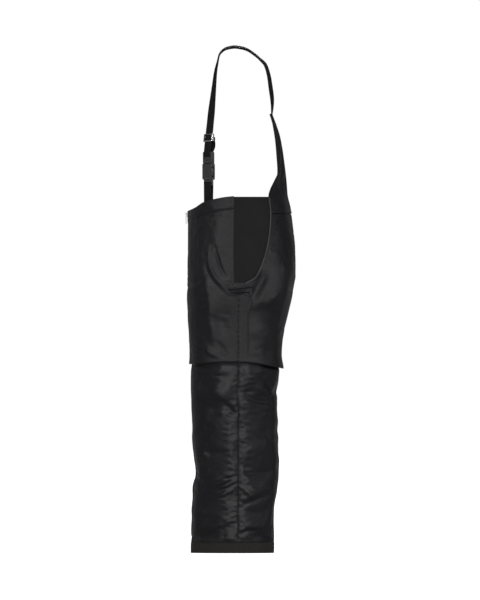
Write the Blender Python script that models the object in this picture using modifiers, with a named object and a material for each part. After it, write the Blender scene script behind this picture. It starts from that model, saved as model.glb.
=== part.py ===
"""Chainsaw bib chaps: padded over-trousers with a zipped bib and two buckled braces.

Metres, +Z up. The wearer faces -Y and the wearer's left is +X. The origin is on the ground, in the
middle of the object's outline, and the chaps stand on their two leg hems.
"""
import math

import bmesh
import bpy
from mathutils import Vector

NAME = "chainsaw_bib_chaps"
SIDES = (("left", 1), ("right", -1))

# Heights of the garment's lines
HEM_BAND_TOP = 0.031
CROTCH = 0.745
TRUNK_START = 0.810
GUSSET_FOOT = 0.768
BIB_FRONT_TOP = 0.973
YOKE_SEAM = 0.968
GUSSET_TOP = 1.013

# Plan of the garment: the side seam's Y, each leg's middle, and the outlines by height (height, value)
SEAM_Y = -0.009
LEG_CENTRE = 0.103
SHELL_FRONT = (
    (0.535, -0.1435), (0.620, -0.1480), (0.700, -0.1515), (0.800, -0.1515), (1.020, -0.1515),
)
SHELL_BACK = (
    (0.520, 0.1165), (0.570, 0.1165), (0.617, 0.1200), (0.685, 0.1340), (0.731, 0.1450),
    (0.790, 0.1540), (0.868, 0.1540), (0.913, 0.1490), (0.973, 0.1425), (1.020, 0.1350),
)
SHELL_SIDE = (
    (0.520, 0.1985), (0.650, 0.2020), (0.745, 0.2065), (0.800, 0.2020), (0.870, 0.1900),
    (0.950, 0.1790), (1.020, 0.1730),
)
LEG_FRONT = (
    (0.000, -0.1435), (0.090, -0.1405), (0.180, -0.1385), (0.229, -0.1300), (0.290, -0.1370),
    (0.440, -0.1405), (0.500, -0.1415), (0.560, -0.1395), (0.720, -0.1395),
)
LEG_BACK = (
    (0.000, 0.0940), (0.120, 0.0950), (0.180, 0.1020), (0.230, 0.1045), (0.320, 0.1030),
    (0.450, 0.1030), (0.510, 0.1075), (0.560, 0.1100), (0.720, 0.1100),
)
LEG_HALF_WIDTH = (
    (0.000, 0.0820), (0.120, 0.0835), (0.230, 0.0840), (0.400, 0.0880), (0.560, 0.0915), (0.720, 0.0930),
)
# Top edge of the bib by Y, shell hem by Y, and the curved back edge of the side gusset by height
BIB_EDGE = ((-0.1515, 0.973), (-0.131, 0.982), (-0.106, 0.998), (-0.057, 1.0105), (-0.020, 1.0150))
SHELL_HEM = ((-0.1435, 0.537), (-0.066, 0.543), (-0.009, 0.544), (0.043, 0.540), (0.1165, 0.524))
BACK_EDGE = (
    (0.755, -0.0082), (0.7625, 0.0020), (0.768, 0.0160), (0.774, 0.0285), (0.785, 0.0430),
    (0.824, 0.0610), (0.871, 0.0750), (0.925, 0.0830), (0.968, 0.0845), (1.016, 0.0790),
)
FRONT_EDGE = ((0.740, -0.0096), (0.775, -0.0200), (1.020, -0.0200))

# Cloth thicknesses and the clearance between neighbours
SHELL_CLOTH = 0.0015
LEG_CLOTH = 0.0015
LINING_CLOTH = 0.0008
PAD_THICKNESS = 0.0055
HEM_BAND_THICKNESS = 0.0030
CLEARANCE = 0.0004
LAYER_STEP = 0.0008
COLUMNS = 12
LEG_ROWS = (0.0315, 0.0900, 0.1500, 0.1850, 0.2290, 0.2750, 0.3400, 0.4200, 0.5000, 0.5500, 0.6000, 0.7000)

# Zip at the middle of the bib
ZIP_FOOT = 0.818
ZIP_HALF_OPENING = 0.0050
ZIP_FACE_Y = -0.1515
TAPE_FRONT_Y = ZIP_FACE_Y + 0.0024
TAPE_WIDTH = 0.0120
TAPE_THICKNESS = 0.0006
CHAIN_WIDTH = 0.0028
CHAIN_DEPTH = 0.0018
ZIP_STOP = (0.0030, 0.0020, 0.0040)
SLIDER_AT = 0.9625
PULL_HINGE = (0.0, -0.1568, 0.9660)

# Brace webbing and its fittings
WEBBING_WIDTH = 0.048
WEBBING_THICKNESS = 0.0015
STRAP_TURN = math.radians(24.0)
BUCKLE_AT = (0.1200, -0.0925, 1.1080)
STRAP_LEAN = Vector((-0.070, 0.101, 1.0)).normalized()
STRAP_SPLIT_Y = -0.0140
BUCKLE_WIDTH = 0.060
BUCKLE_DEPTH = 0.0145
BAR_REACH = 0.0037
BAR_RISE = 0.0054
PRONG_PIVOT = (0.0190, -0.0026)
RUN_START = 0.0045
TRIGLIDE_LIFT = 0.0395
TRIGLIDE_HEIGHT = 0.0220
TAIL_FOOT = 0.0025
MALE_BAR_UP = 0.0295
FEMALE_BAR_UP = -0.0610
ANCHOR_FOOT = (0.1185, -0.0930, 0.9750)
ANCHOR_TURN = math.radians(28.0)

# Middle line of the brace over the shoulder: (X, Y, Z, turn in degrees), from the brace base at
# the back to the straight run above the adjuster
SHOULDER_LINE = (
    (0.0915, 0.0880, 1.2500, -3), (0.0925, 0.0898, 1.2896, 0), (0.0940, 0.0855, 1.3238, 0),
    (0.0955, 0.0798, 1.3610, 0), (0.0965, 0.0698, 1.3922, 0), (0.0970, 0.0540, 1.4090, 0),
    (0.0975, 0.0370, 1.4236, 0), (0.0980, 0.0142, 1.4378, 0), (0.0985, -0.0140, 1.4440, 0),
    (0.0990, -0.0342, 1.4420, 0), (0.0995, -0.0485, 1.4364, 1), (0.1000, -0.0610, 1.4230, 2),
    (0.1010, -0.0670, 1.4008, 4), (0.1030, -0.0730, 1.3700, 8), (0.1060, -0.0772, 1.3267, 14),
)


def along(profile, at):
    """Value at a place along a smooth line through the profile's points."""
    if at <= profile[0][0]:
        return profile[0][1]
    if at >= profile[-1][0]:
        return profile[-1][1]
    last = len(profile) - 1
    k = next(i for i in range(last) if at <= profile[i + 1][0])

    def slope(i):
        low, high = max(i - 1, 0), min(i + 1, last)
        return (profile[high][1] - profile[low][1]) / (profile[high][0] - profile[low][0])

    (a, va), (b, vb) = profile[k], profile[k + 1]
    step = b - a
    t = (at - a) / step
    start = (2 * t ** 3 - 3 * t ** 2 + 1) * va + (t ** 3 - 2 * t ** 2 + t) * step * slope(k)
    return start + (3 * t ** 2 - 2 * t ** 3) * vb + (t ** 3 - t ** 2) * step * slope(k + 1)


def ease(value, low, high):
    """0 below low, 1 above high, smooth between."""
    t = min(max((value - low) / (high - low), 0.0), 1.0)
    return t * t * (3 - 2 * t)


# --- the two families of cross-section ---------------------------------------------------------

def shell_section(z):
    """Middle, half width, front depth and back depth of the shell's left half at height z.

    Below the crotch each leg is an ellipse of its own; above it the ellipse moves to the middle, so
    the two sides run together into one trunk."""
    centre = LEG_CENTRE * (1.0 - ease(z, CROTCH, TRUNK_START))
    half = along(SHELL_SIDE, z) - centre
    return centre, half, SEAM_Y - along(SHELL_FRONT, z), along(SHELL_BACK, z) - SEAM_Y


def leg_section(z):
    """The same four values for the padded leg under the shell."""
    return LEG_CENTRE, along(LEG_HALF_WIDTH, z), SEAM_Y - along(LEG_FRONT, z), along(LEG_BACK, z) - SEAM_Y


def on_section(section, angle, inset, back):
    """X and Y at an angle from the inner leg (0) round the front or back to the outer side (pi)."""
    centre, half, front_depth, back_depth = section
    depth = back_depth if back else -front_depth
    shrink = inset if back else -inset
    return centre - (half - inset) * math.cos(angle), SEAM_Y + (depth - shrink) * math.sin(angle)


def inner_angle(section, depth, opening):
    """Where a panel starts: at the middle seam of the trunk, or at the inseam of a leg."""
    centre, half = section[0], section[1]
    at_middle = math.acos(min(max((centre - opening) / half, -1.0), 1.0)) if half > centre - opening else 0.0
    return max(at_middle, math.asin(CLEARANCE / depth))


def outer_angle(depth, distance):
    """Where a panel stops, by its edge's distance in Y from the side seam."""
    return math.pi - math.asin(min(distance / depth, 1.0))


# --- builders ----------------------------------------------------------------------------------

def clear_scene():
    for item in list(bpy.data.objects):
        bpy.data.objects.remove(item, do_unlink=True)


def material(name, color, roughness, metallic=0.0):
    mat = bpy.data.materials.new(name)
    mat.use_nodes = True
    shader = mat.node_tree.nodes["Principled BSDF"]
    shader.inputs["Base Color"].default_value = (*color, 1.0)
    shader.inputs["Roughness"].default_value = roughness
    shader.inputs["Metallic"].default_value = metallic
    return mat


def add_object(name, data, mat, collection="parts"):
    item = bpy.data.objects.new(name, data)
    groups[collection].objects.link(item)
    if mat:
        item.data.materials.append(mats[mat])
    return item


def sheet(name, grid, thickness, mat, flip=False, offset=-1.0, closed=False):
    """A lofted sheet of cloth: rows of points, thickened by Solidify."""
    rows, columns = len(grid), len(grid[0])
    points = [tuple(p) for row in grid for p in row]
    faces = []
    for r in range(rows - 1):
        for c in range(columns if closed else columns - 1):
            d = (c + 1) % columns
            face = (r * columns + c, r * columns + d, (r + 1) * columns + d, (r + 1) * columns + c)
            faces.append(tuple(reversed(face)) if flip else face)
    mesh = bpy.data.meshes.new(name)
    mesh.from_pydata(points, [], faces)
    mesh.shade_smooth()
    item = add_object(name, mesh, mat)
    solid = item.modifiers.new("Thickness", "SOLIDIFY")
    solid.thickness = thickness
    solid.offset = offset
    return item


def box(name, size, at, mat, parent=None, bevel=0.0, collection="parts", segments=2):
    """A block with its size in its mesh, and rounded edges."""
    mesh = bpy.data.meshes.new(name)
    bm = bmesh.new()
    bmesh.ops.create_cube(bm, size=1.0)
    bmesh.ops.scale(bm, vec=Vector(size), verts=bm.verts)
    bm.to_mesh(mesh)
    bm.free()
    item = add_object(name, mesh, mat, collection)
    item.location = at
    item.parent = parent
    if bevel:
        rounding = item.modifiers.new("Rounding", "BEVEL")
        rounding.width = bevel
        rounding.segments = segments
    if collection == "cutters":
        item.hide_render = True
        item.display_type = "WIRE"
    return item


def rod(name, radius, length, at, collection="cutters", parent=None):
    """A round bar along X."""
    mesh = bpy.data.meshes.new(name)
    bm = bmesh.new()
    bmesh.ops.create_cone(bm, cap_ends=True, segments=16, radius1=radius, radius2=radius, depth=length)
    bmesh.ops.rotate(bm, verts=bm.verts, cent=(0, 0, 0),
                     matrix=Vector((0, 0, 1)).rotation_difference(Vector((1, 0, 0))).to_matrix())
    bm.to_mesh(mesh)
    bm.free()
    item = add_object(name, mesh, None, collection)
    item.location = at
    item.parent = parent
    item.hide_render = True
    item.display_type = "WIRE"
    return item


def combine(item, other, operation):
    joint = item.modifiers.new(operation.title(), "BOOLEAN")
    joint.operation = operation
    joint.object = other


def soften(item, width):
    """Small rounding on the edges that the cuts left."""
    rounding = item.modifiers.new("Edges", "BEVEL")
    rounding.width = width
    rounding.segments = 1
    rounding.limit_method = "ANGLE"
    rounding.angle_limit = math.radians(40)


def frame_empty(name, at, turn):
    empty = bpy.data.objects.new(name, None)
    groups["parts"].objects.link(empty)
    empty.location = at
    empty.rotation_euler = (0.0, 0.0, turn)
    return empty


# --- shell of the bib and thighs ----------------------------------------------------------------

def panel_grid(side, back, rows, edge, hem, top, inset=0.0, opening=None):
    """Points of a front or back panel, from the middle seam or inseam out to its side edge."""
    grid = []
    for r in range(len(rows) + 2):
        row = []
        for c in range(COLUMNS + 1):
            share = c / COLUMNS
            z = rows[r - 1] if 0 < r <= len(rows) else None
            if z is None:
                z = 0.540 if r == 0 else 1.000
                y = panel_point(z, share, back, edge, inset, opening)[1]
                z = hem(y) if r == 0 else top(y)
            x, y = panel_point(z, share, back, edge, inset, opening)
            row.append((side * x, y, z))
        grid.append(row)
    return grid


def panel_point(z, share, back, edge, inset, opening):
    section = shell_section(z)
    depth = section[3] if back else section[2]
    start = inner_angle(section, depth, opening(z) if opening else CLEARANCE)
    stop = outer_angle(depth, abs(edge(z) - SEAM_Y))
    return on_section(section, start + (stop - start) * share, inset, back)


def zip_opening(z):
    return CLEARANCE + (ZIP_HALF_OPENING - CLEARANCE) * ease(z, TRUNK_START, ZIP_FOOT)


def front_edge(z):
    return along(FRONT_EDGE, z)


def back_edge(z):
    return along(BACK_EDGE, z)


def hem_line(y):
    return along(SHELL_HEM, y)


def shell_panels(label, side):
    rows = (0.600, 0.660, 0.710, 0.745, 0.757, 0.772, 0.790, 0.810, 0.819, 0.860, 0.910, 0.955)
    grid = panel_grid(side, False, rows, front_edge, hem_line, lambda y: along(BIB_EDGE, y),
                      opening=zip_opening)
    sheet(f"front_panel_{label}", grid, SHELL_CLOTH, "shell", flip=side < 0)
    rows = (0.600, 0.660, 0.710, 0.745, 0.755, 0.7625, 0.768, 0.774, 0.785, 0.810, 0.850, 0.900, 0.940)
    grid = panel_grid(side, True, rows, back_edge, hem_line, lambda y: YOKE_SEAM)
    sheet(f"back_panel_{label}", grid, SHELL_CLOTH, "shell", flip=side > 0)


def side_point(z, y, inset):
    """A point on the outer side of the shell at a given height and Y."""
    section = shell_section(z)
    back = y > SEAM_Y
    depth = section[3] if back else section[2]
    return on_section(section, outer_angle(depth, abs(y - SEAM_Y)), inset, back)


def side_patch(name, side, heights, low_y, high_y, columns, outer_inset, thickness, mat):
    """A patch that follows the shell's side between two lines in Y."""
    grid = []
    for z in heights:
        row = []
        for c in range(columns + 1):
            y = low_y(z) + (high_y(z) - low_y(z)) * c / columns
            x, y = side_point(z, y, outer_inset)
            row.append((side * x, y, z))
        grid.append(row)
    return sheet(name, grid, thickness, mat, flip=side < 0)


def side_gusset(label, side):
    """The stretch wedge under the arm, set under the edges of the front and back panels."""
    heights = (0.763, 0.772, 0.785, 0.810, 0.850, 0.900, 0.950, GUSSET_TOP)
    side_patch(f"side_gusset_{label}", side, heights, lambda z: -0.0260, lambda z: back_edge(z) + 0.0060, 8,
               SHELL_CLOTH + LAYER_STEP, 0.0012, "stretch")


def gusset_binding(label, side):
    """The piped edge along the gusset's curved back seam."""
    curve = bpy.data.curves.new(f"gusset_binding_{label}", "CURVE")
    curve.dimensions = "3D"
    curve.bevel_depth = 0.0010
    curve.bevel_resolution = 1
    curve.use_fill_caps = True
    spline = curve.splines.new("POLY")
    heights = (0.774, 0.785, 0.800, 0.824, 0.850, 0.871, 0.900, 0.925, 0.950, 0.968, 0.990, 1.011)
    spline.points.add(len(heights) - 1)
    for point, z in zip(spline.points, heights):
        x, y = side_point(z, back_edge(z) - 0.0022, 0.0003)
        point.co = (side * x, y, z, 1.0)
    add_object(curve.name, curve, "piping")


def side_trims(label, side):
    """The tab at the gusset's foot and the narrow placket from there to the shell's hem."""
    tab_out = -0.0021
    heights = (0.7310, 0.7500, GUSSET_FOOT)
    side_patch(f"side_tab_{label}", side, heights, lambda z: -0.0370, lambda z: 0.0310, 6,
               tab_out, 0.0016, "shell")
    heights = (0.5480, 0.5900, 0.6400, 0.6900, 0.7290)
    side_patch(f"side_placket_{label}", side, heights, lambda z: -0.0114, lambda z: 0.0228, 3,
               -0.0018, 0.0012, "shell")


def bib_facing(label, side):
    """The band of cloth sewn inside the bib's top edge."""
    inset = SHELL_CLOTH + LAYER_STEP
    grid = []
    for r in range(3):
        row = []
        for c in range(9):
            section = shell_section(0.98)
            start = math.acos(-0.0165 / section[1])
            stop = outer_angle(section[2], 0.0225)
            angle = start + (stop - start) * c / 8
            y = on_section(section, angle, 0.0, False)[1]
            z = along(BIB_EDGE, y) - 0.0010 - 0.0190 * (2 - r)
            x, y = on_section(shell_section(z), angle, inset, False)
            row.append((side * x, y, z))
        grid.append(row)
    sheet(f"bib_facing_{label}", grid, 0.0010, "lining", flip=side < 0)


# --- padded legs -------------------------------------------------------------------------------

def leg_half(name, side, back, rows, first, last, inset, thickness, mat):
    """Half a leg's tube, front or back, between two columns of the shared division."""
    grid = []
    for z in rows:
        section = leg_section(z)
        depth = section[3] if back else section[2]
        start = math.asin(CLEARANCE / depth)
        row = []
        for c in range(first, last + 1):
            angle = start + (math.pi - 2 * start) * c / COLUMNS
            x, y = on_section(section, angle, inset, back)
            row.append((side * x, y, z))
        grid.append(row)
    return sheet(name, grid, thickness, mat, flip=(side < 0) != back)


def leg_ring(side, section, z, inset):
    """One closed row of points round a whole leg."""
    row = []
    for c in range(2 * COLUMNS):
        back = c > COLUMNS
        angle = math.pi * (2 * COLUMNS - c if back else c) / COLUMNS
        x, y = on_section(section, angle, inset, back)
        row.append((side * x, y, z))
    return row


def legs(label, side):
    cloth_rows = LEG_ROWS[:-1]
    leg_half(f"leg_front_{label}", side, False, cloth_rows, 0, COLUMNS, 0.0, LEG_CLOTH, "leg")
    leg_half(f"leg_back_{label}", side, True, cloth_rows, 0, COLUMNS, 0.0, LEG_CLOTH, "leg")
    pad_rows = (0.0400,) + LEG_ROWS[1:]
    pad_inset = LEG_CLOTH + LAYER_STEP
    leg_half(f"cut_pad_{label}", side, False, pad_rows, 1, COLUMNS - 1, pad_inset, PAD_THICKNESS, "pad")
    lining_rows = (0.0360,) + LEG_ROWS[1:]
    lining_inset = pad_inset + PAD_THICKNESS + LAYER_STEP
    lining = [leg_ring(side, leg_section(z), z, lining_inset) for z in lining_rows]
    sheet(f"leg_lining_{label}", lining, LINING_CLOTH, "lining", flip=side < 0, closed=True)
    band = [leg_ring(side, leg_section(0.0), z, 0.0) for z in (0.0, HEM_BAND_TOP)]
    sheet(f"hem_band_{label}", band, HEM_BAND_THICKNESS, "hem", flip=side < 0, closed=True)


# --- braces ------------------------------------------------------------------------------------

def brace_base(label, side):
    """The yoke half and cloth brace that rise from the back panel and narrow to the webbing."""
    outer = (
        (0.9690, 0.0855), (0.9900, 0.0830), (1.0160, 0.0790), (1.0330, 0.0830), (1.0620, 0.0970),
        (1.0800, 0.1045), (1.1360, 0.1020), (1.1760, 0.0985), (1.2155, 0.0925), (1.2480, 0.0860),
    )
    inner = (
        (0.9690, 0.1427), (1.0230, 0.1340), (1.0960, 0.1254), (1.1560, 0.1169), (1.1960, 0.1080),
        (1.2480, 0.0890),
    )
    outer_x = ((1.0160, 0.1450), (1.0330, 0.1400), (1.0620, 0.1250), (1.0800, 0.1150), (1.2480, 0.1150))
    inner_x = ((0.9690, 0.0004), (0.9900, 0.0140), (1.0160, 0.0380), (1.0620, 0.0600), (1.2480, 0.0680))
    grid = []
    for z in (0.969, 0.980, 0.998, 1.016, 1.033, 1.062, 1.080, 1.110, 1.140, 1.176, 1.215, 1.248):
        section = shell_section(z)
        low = math.acos(max(-along(inner_x, z) / section[1], -1.0))
        high = outer_angle(section[3], along(outer, z) - SEAM_Y)
        to_brace = ease(z, YOKE_SEAM + 0.010, 1.0620)
        row = []
        for c in range(7):
            share = c / 6
            body = Vector(on_section(section, low + (high - low) * share, 0.0, True))
            start = Vector((along(inner_x, z), along(inner, z)))
            stop = Vector((along(outer_x, z), along(outer, z)))
            flat = start.lerp(stop, share)
            at = body.lerp(flat, to_brace)
            row.append((side * at.x, at.y, z))
        grid.append(row)
    sheet(f"brace_base_{label}", grid, SHELL_CLOTH, "shell", flip=side > 0)


def strap(name, side, stations, width, mat, thickness=WEBBING_THICKNESS):
    """Flat webbing through stations of a middle point and a turn of its width about Z."""
    grid = []
    for middle, turn in stations:
        across = Vector((math.cos(turn), math.sin(turn), 0.0)) * width / 2
        pair = [Vector(middle) - across, Vector(middle), Vector(middle) + across]
        grid.append([(side * p.x, p.y, p.z) for p in pair])
    return sheet(name, grid, thickness, mat, flip=side < 0, offset=0.0)


def buckle_frame_point(across, out, up, turn=STRAP_TURN):
    """World place of a point on the left buckle: along its width, out of its face, and up."""
    x = BUCKLE_AT[0] + across * math.cos(turn) + out * math.sin(turn)
    y = BUCKLE_AT[1] + across * math.sin(turn) - out * math.cos(turn)
    return Vector((x, y, BUCKLE_AT[2] + up))


def strap_run(lift, out=BAR_REACH):
    """A point of the straight run above the buckle, at a distance up along the webbing."""
    start = buckle_frame_point(0.0, out, MALE_BAR_UP + RUN_START, STRAP_TURN)
    return start + STRAP_LEAN * lift


def bar_wrap(bar_up, sign, turn, steps=8):
    """Stations of the half turn round a buckle's squarish bar, from its face to its back."""
    stations = []
    for k in range(steps + 1):
        angle = math.pi * k / steps
        out = BAR_REACH * math.copysign(math.sqrt(abs(math.cos(angle))), math.cos(angle))
        up = bar_up + sign * BAR_RISE * math.sqrt(math.sin(angle))
        stations.append((buckle_frame_point(0.0, out, up, turn), turn))
    return stations


def webbing(label, side):
    back_half = [((x, y, z), math.radians(turn)) for x, y, z, turn in SHOULDER_LINE if y > STRAP_SPLIT_Y]
    split = next(p for p in SHOULDER_LINE if p[1] == STRAP_SPLIT_Y)
    gap = 0.0002
    back_half.append(((split[0], split[1] + gap, split[2]), 0.0))
    strap(f"shoulder_webbing_{label}", side, list(reversed(back_half)), WEBBING_WIDTH, "webbing")

    front_half = [((split[0], split[1] - gap, split[2]), 0.0)]
    front_half += [((x, y, z), math.radians(turn)) for x, y, z, turn in SHOULDER_LINE if y < STRAP_SPLIT_Y]
    front_half += [(strap_run(lift), STRAP_TURN) for lift in (0.120, 0.060, 0.0040)]
    front_half += bar_wrap(MALE_BAR_UP, -1.0, STRAP_TURN)
    front_half.append((strap_run(TAIL_FOOT - 0.0010, -BAR_REACH), STRAP_TURN))
    strap(f"front_webbing_{label}", side, front_half, WEBBING_WIDTH, "webbing")

    tail = [(strap_run(lift, -BAR_REACH), STRAP_TURN) for lift in (TAIL_FOOT, 0.0160, TRIGLIDE_LIFT + 0.0010)]
    strap(f"adjuster_tail_{label}", side, tail, WEBBING_WIDTH, "webbing")

    anchor = anchor_stations(0.0)
    anchor += bar_wrap(FEMALE_BAR_UP, 1.0, STRAP_TURN)
    anchor += list(reversed(anchor_stations(-2 * BAR_REACH)))
    strap(f"anchor_loop_{label}", side, anchor, WEBBING_WIDTH, "webbing")


def anchor_stations(out_shift):
    """The short loop's run from inside the bib up to the buckle's lower bar."""
    stations = []
    for share in (0.0, 0.35, 0.7, 1.0):
        turn = ANCHOR_TURN + (STRAP_TURN - ANCHOR_TURN) * share
        bar = buckle_frame_point(0.0, BAR_REACH + out_shift, FEMALE_BAR_UP - 0.0070)
        outwards = Vector((math.sin(turn), -math.cos(turn), 0.0))
        start = Vector(ANCHOR_FOOT) + outwards * (0.0011 + 0.3 * out_shift)
        stations.append((start.lerp(bar, share), turn))
    return stations


# --- buckles and adjusters ---------------------------------------------------------------------

def female_buckle(label, empty):
    """Socket half: a flat sleeve with a window each side, and a slotted bar below."""
    item = box(f"buckle_female_{label}", (BUCKLE_WIDTH, BUCKLE_DEPTH, 0.045), (0, 0, -0.0225), "plastic",
               empty, bevel=0.0032, segments=3)
    bar = box(f"add_bar_{label}", (BUCKLE_WIDTH, 0.0050, 0.0255), (0, 0, -0.05225), None, empty,
              bevel=0.0024, collection="cutters")
    combine(item, bar, "UNION")
    slot = box(f"cut_slot_{label}", (0.0510, 0.0300, 0.0056), (0, 0, -0.0549), None, empty,
               bevel=0.0012, collection="cutters")
    combine(item, slot, "DIFFERENCE")
    pocket = box(f"cut_pocket_{label}", (0.0550, 0.0092, 0.0600), (0, 0, -0.0100), None, empty,
                 collection="cutters")
    combine(item, pocket, "DIFFERENCE")
    for k, edge in enumerate((-1, 1)):
        window = box(f"cut_window_{label}_{k}", (0.0160, 0.0105, 0.0280), (edge * 0.0335, 0, -0.0250), None,
                     empty, bevel=0.0030, collection="cutters", segments=3)
        combine(item, window, "DIFFERENCE")
    soften(item, 0.0005)


def male_buckle(label, side, empty):
    """Plug half: the webbing frame, its middle guide, and two sprung prongs."""
    item = box(f"buckle_male_{label}", (BUCKLE_WIDTH, 0.0110, 0.0328), (0, 0, 0.0168), "plastic", empty,
               bevel=0.0030, segments=3)
    slot = box(f"cut_male_slot_{label}", (0.0510, 0.0300, 0.0068), (0, 0, 0.0224), None, empty,
               bevel=0.0012, collection="cutters")
    combine(item, slot, "DIFFERENCE")
    for k, face in enumerate((-1, 1)):
        recess = box(f"cut_male_recess_{label}_{k}", (0.0510, 0.0060, 0.0300), (0, face * 0.0055, 0.0280),
                     None, empty, collection="cutters")
        combine(item, recess, "DIFFERENCE")
    guide = box(f"add_guide_{label}", (0.0110, 0.0060, 0.0400), (0, 0, -0.0150), None, empty,
                bevel=0.0015, collection="cutters")
    combine(item, guide, "UNION")
    soften(item, 0.0005)
    for part, edge in (("outer", side), ("inner", -side)):
        prong(f"prong_{part}_{label}", edge, empty)


def prong(name, edge, empty):
    """A springy finger that clicks into the socket's window, hinged at its root."""
    outline = (
        (-0.0022, -0.0005), (-0.0022, -0.0120), (0.0002, -0.0250), (0.0035, -0.0325), (0.0068, -0.0335),
        (0.0081, -0.0290), (0.0082, -0.0180), (0.0070, -0.0120), (0.0042, -0.0105), (0.0022, -0.0080),
        (0.0022, -0.0005), (0.0016, 0.0015), (0.0, 0.0022), (-0.0016, 0.0015),
    )
    curve = bpy.data.curves.new(name, "CURVE")
    curve.dimensions = "2D"
    curve.fill_mode = "BOTH"
    curve.extrude = 0.0036
    spline = curve.splines.new("POLY")
    spline.points.add(len(outline) - 1)
    for point, (x, up) in zip(spline.points, outline):
        point.co = (edge * x, up, 0.0, 1.0)
    spline.use_cyclic_u = True
    item = add_object(name, curve, "plastic")
    item.location = (edge * PRONG_PIVOT[0], 0.0, PRONG_PIVOT[1])
    item.rotation_euler = (math.pi / 2, 0.0, 0.0)
    item.parent = empty


def triglide(label, side):
    """Metal adjuster: the webbing runs behind its end bars and over its middle bar."""
    at = strap_run(TRIGLIDE_LIFT)
    empty = frame_empty(f"adjuster_frame_{label}", (side * at.x, at.y, at.z), 0.0)
    empty.rotation_mode = "QUATERNION"
    lean = Vector((side * STRAP_LEAN.x, STRAP_LEAN.y, STRAP_LEAN.z))
    turn = Vector((0, 0, 1)).rotation_difference(lean)
    empty.rotation_quaternion = turn @ frame_turn(side * STRAP_TURN)
    item = box(f"triglide_{label}", (0.0570, 0.0074, TRIGLIDE_HEIGHT), (0, 0, 0), "metal", empty, bevel=0.0012)
    cuts = (
        ("channel", (0.0505, 0.0027, 0.0600), (0, 0, 0)),
        ("upper", (0.0505, 0.0100, 0.0200), (0, 0.0041, 0.0122)),
        ("lower", (0.0505, 0.0100, 0.0200), (0, 0.0041, -0.0122)),
        ("window", (0.0505, 0.0100, TRIGLIDE_HEIGHT - 0.0046), (0, -0.0042, 0)),
    )
    for title, size, place in cuts:
        cutter = box(f"cut_{title}_{label}", size, place, None, empty, collection="cutters")
        combine(item, cutter, "DIFFERENCE")
    soften(item, 0.0004)


def frame_turn(angle):
    return Vector((1, 0, 0)).rotation_difference(Vector((math.cos(angle), math.sin(angle), 0)))


# --- zip ---------------------------------------------------------------------------------------

def zip_fastener():
    length = BIB_FRONT_TOP - ZIP_FOOT
    middle = (BIB_FRONT_TOP + ZIP_FOOT) / 2
    tape_y = TAPE_FRONT_Y + TAPE_THICKNESS / 2
    chain_y = TAPE_FRONT_Y - 0.0012
    for label, side in SIDES:
        tape_x = side * (0.0008 + TAPE_WIDTH / 2)
        chain_x = side * (0.0003 + CHAIN_WIDTH / 2)
        stop_at = (side * 0.0022, chain_y, BIB_FRONT_TOP - 0.0022)
        box(f"zip_tape_{label}", (TAPE_WIDTH, TAPE_THICKNESS, length), (tape_x, tape_y, middle), "tape")
        chain = (CHAIN_WIDTH, CHAIN_DEPTH, length - 0.0100)
        box(f"zip_chain_{label}", chain, (chain_x, chain_y, middle), "metal", bevel=0.0005)
        box(f"zip_top_stop_{label}", ZIP_STOP, stop_at, "metal", bevel=0.0004)
    box("zip_bottom_stop", (0.0070, 0.0020, 0.0040), (0, chain_y, ZIP_FOOT + 0.0022), "metal", bevel=0.0004)

    plate_y = ZIP_FACE_Y - 0.0018
    slider = box("zip_slider", (0.0088, 0.0030, 0.0120), (0, plate_y, SLIDER_AT), "metal", bevel=0.0009)
    lugs = box("add_lugs", (0.0074, 0.0050, 0.0036), (0, PULL_HINGE[1] + 0.0008, PULL_HINGE[2]), None,
               collection="cutters", bevel=0.0006)
    combine(slider, lugs, "UNION")
    slot = box("cut_slot", (0.0046, 0.0058, 0.0200), (0, PULL_HINGE[1] - 0.0008, PULL_HINGE[2]), None,
               collection="cutters")
    combine(slider, slot, "DIFFERENCE")
    pin = rod("add_pin", 0.0007, 0.0060, PULL_HINGE)
    combine(slider, pin, "UNION")

    pull = box("zip_pull", (0.0062, 0.0014, 0.0260), (0, 0, -0.0170), "metal", bevel=0.0006)
    pull.data.transform(pull.matrix_basis.Translation((0, 0, -0.0170)))
    pull.location = PULL_HINGE
    barrel = rod("add_barrel", 0.0016, 0.0040, PULL_HINGE)
    stem_at = (PULL_HINGE[0], PULL_HINGE[1], PULL_HINGE[2] - 0.0030)
    stem = box("add_stem", (0.0036, 0.0014, 0.0060), stem_at, None, collection="cutters")
    bore = rod("cut_bore", 0.0011, 0.0100, PULL_HINGE)
    combine(pull, stem, "UNION")
    combine(pull, barrel, "UNION")
    combine(pull, bore, "DIFFERENCE")


def make_materials():
    return {
        "shell": material("shell_cloth", (0.020, 0.019, 0.022), 0.55),
        "leg": material("leg_cloth", (0.018, 0.017, 0.019), 0.60),
        "stretch": material("stretch_cloth", (0.015, 0.015, 0.015), 0.85),
        "piping": material("piping", (0.024, 0.023, 0.026), 0.50),
        "hem": material("hem_binding", (0.026, 0.022, 0.021), 0.80),
        "lining": material("lining_cloth", (0.020, 0.020, 0.021), 0.70),
        "pad": material("cut_fibre", (0.62, 0.60, 0.52), 0.90),
        "webbing": material("webbing", (0.019, 0.016, 0.017), 0.65),
        "tape": material("zip_tape", (0.016, 0.016, 0.017), 0.80),
        "plastic": material("buckle_plastic", (0.020, 0.020, 0.021), 0.35),
        "metal": material("steel", (0.62, 0.62, 0.64), 0.25, 1.0),
    }


def build():
    for label, side in SIDES:
        shell_panels(label, side)
        side_gusset(label, side)
        gusset_binding(label, side)
        side_trims(label, side)
        bib_facing(label, side)
        legs(label, side)
        brace_base(label, side)
        webbing(label, side)
        at = (side * BUCKLE_AT[0], BUCKLE_AT[1], BUCKLE_AT[2])
        empty = frame_empty(f"buckle_frame_{label}", at, side * STRAP_TURN)
        female_buckle(label, empty)
        male_buckle(label, side, empty)
        triglide(label, side)
    zip_fastener()


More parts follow.
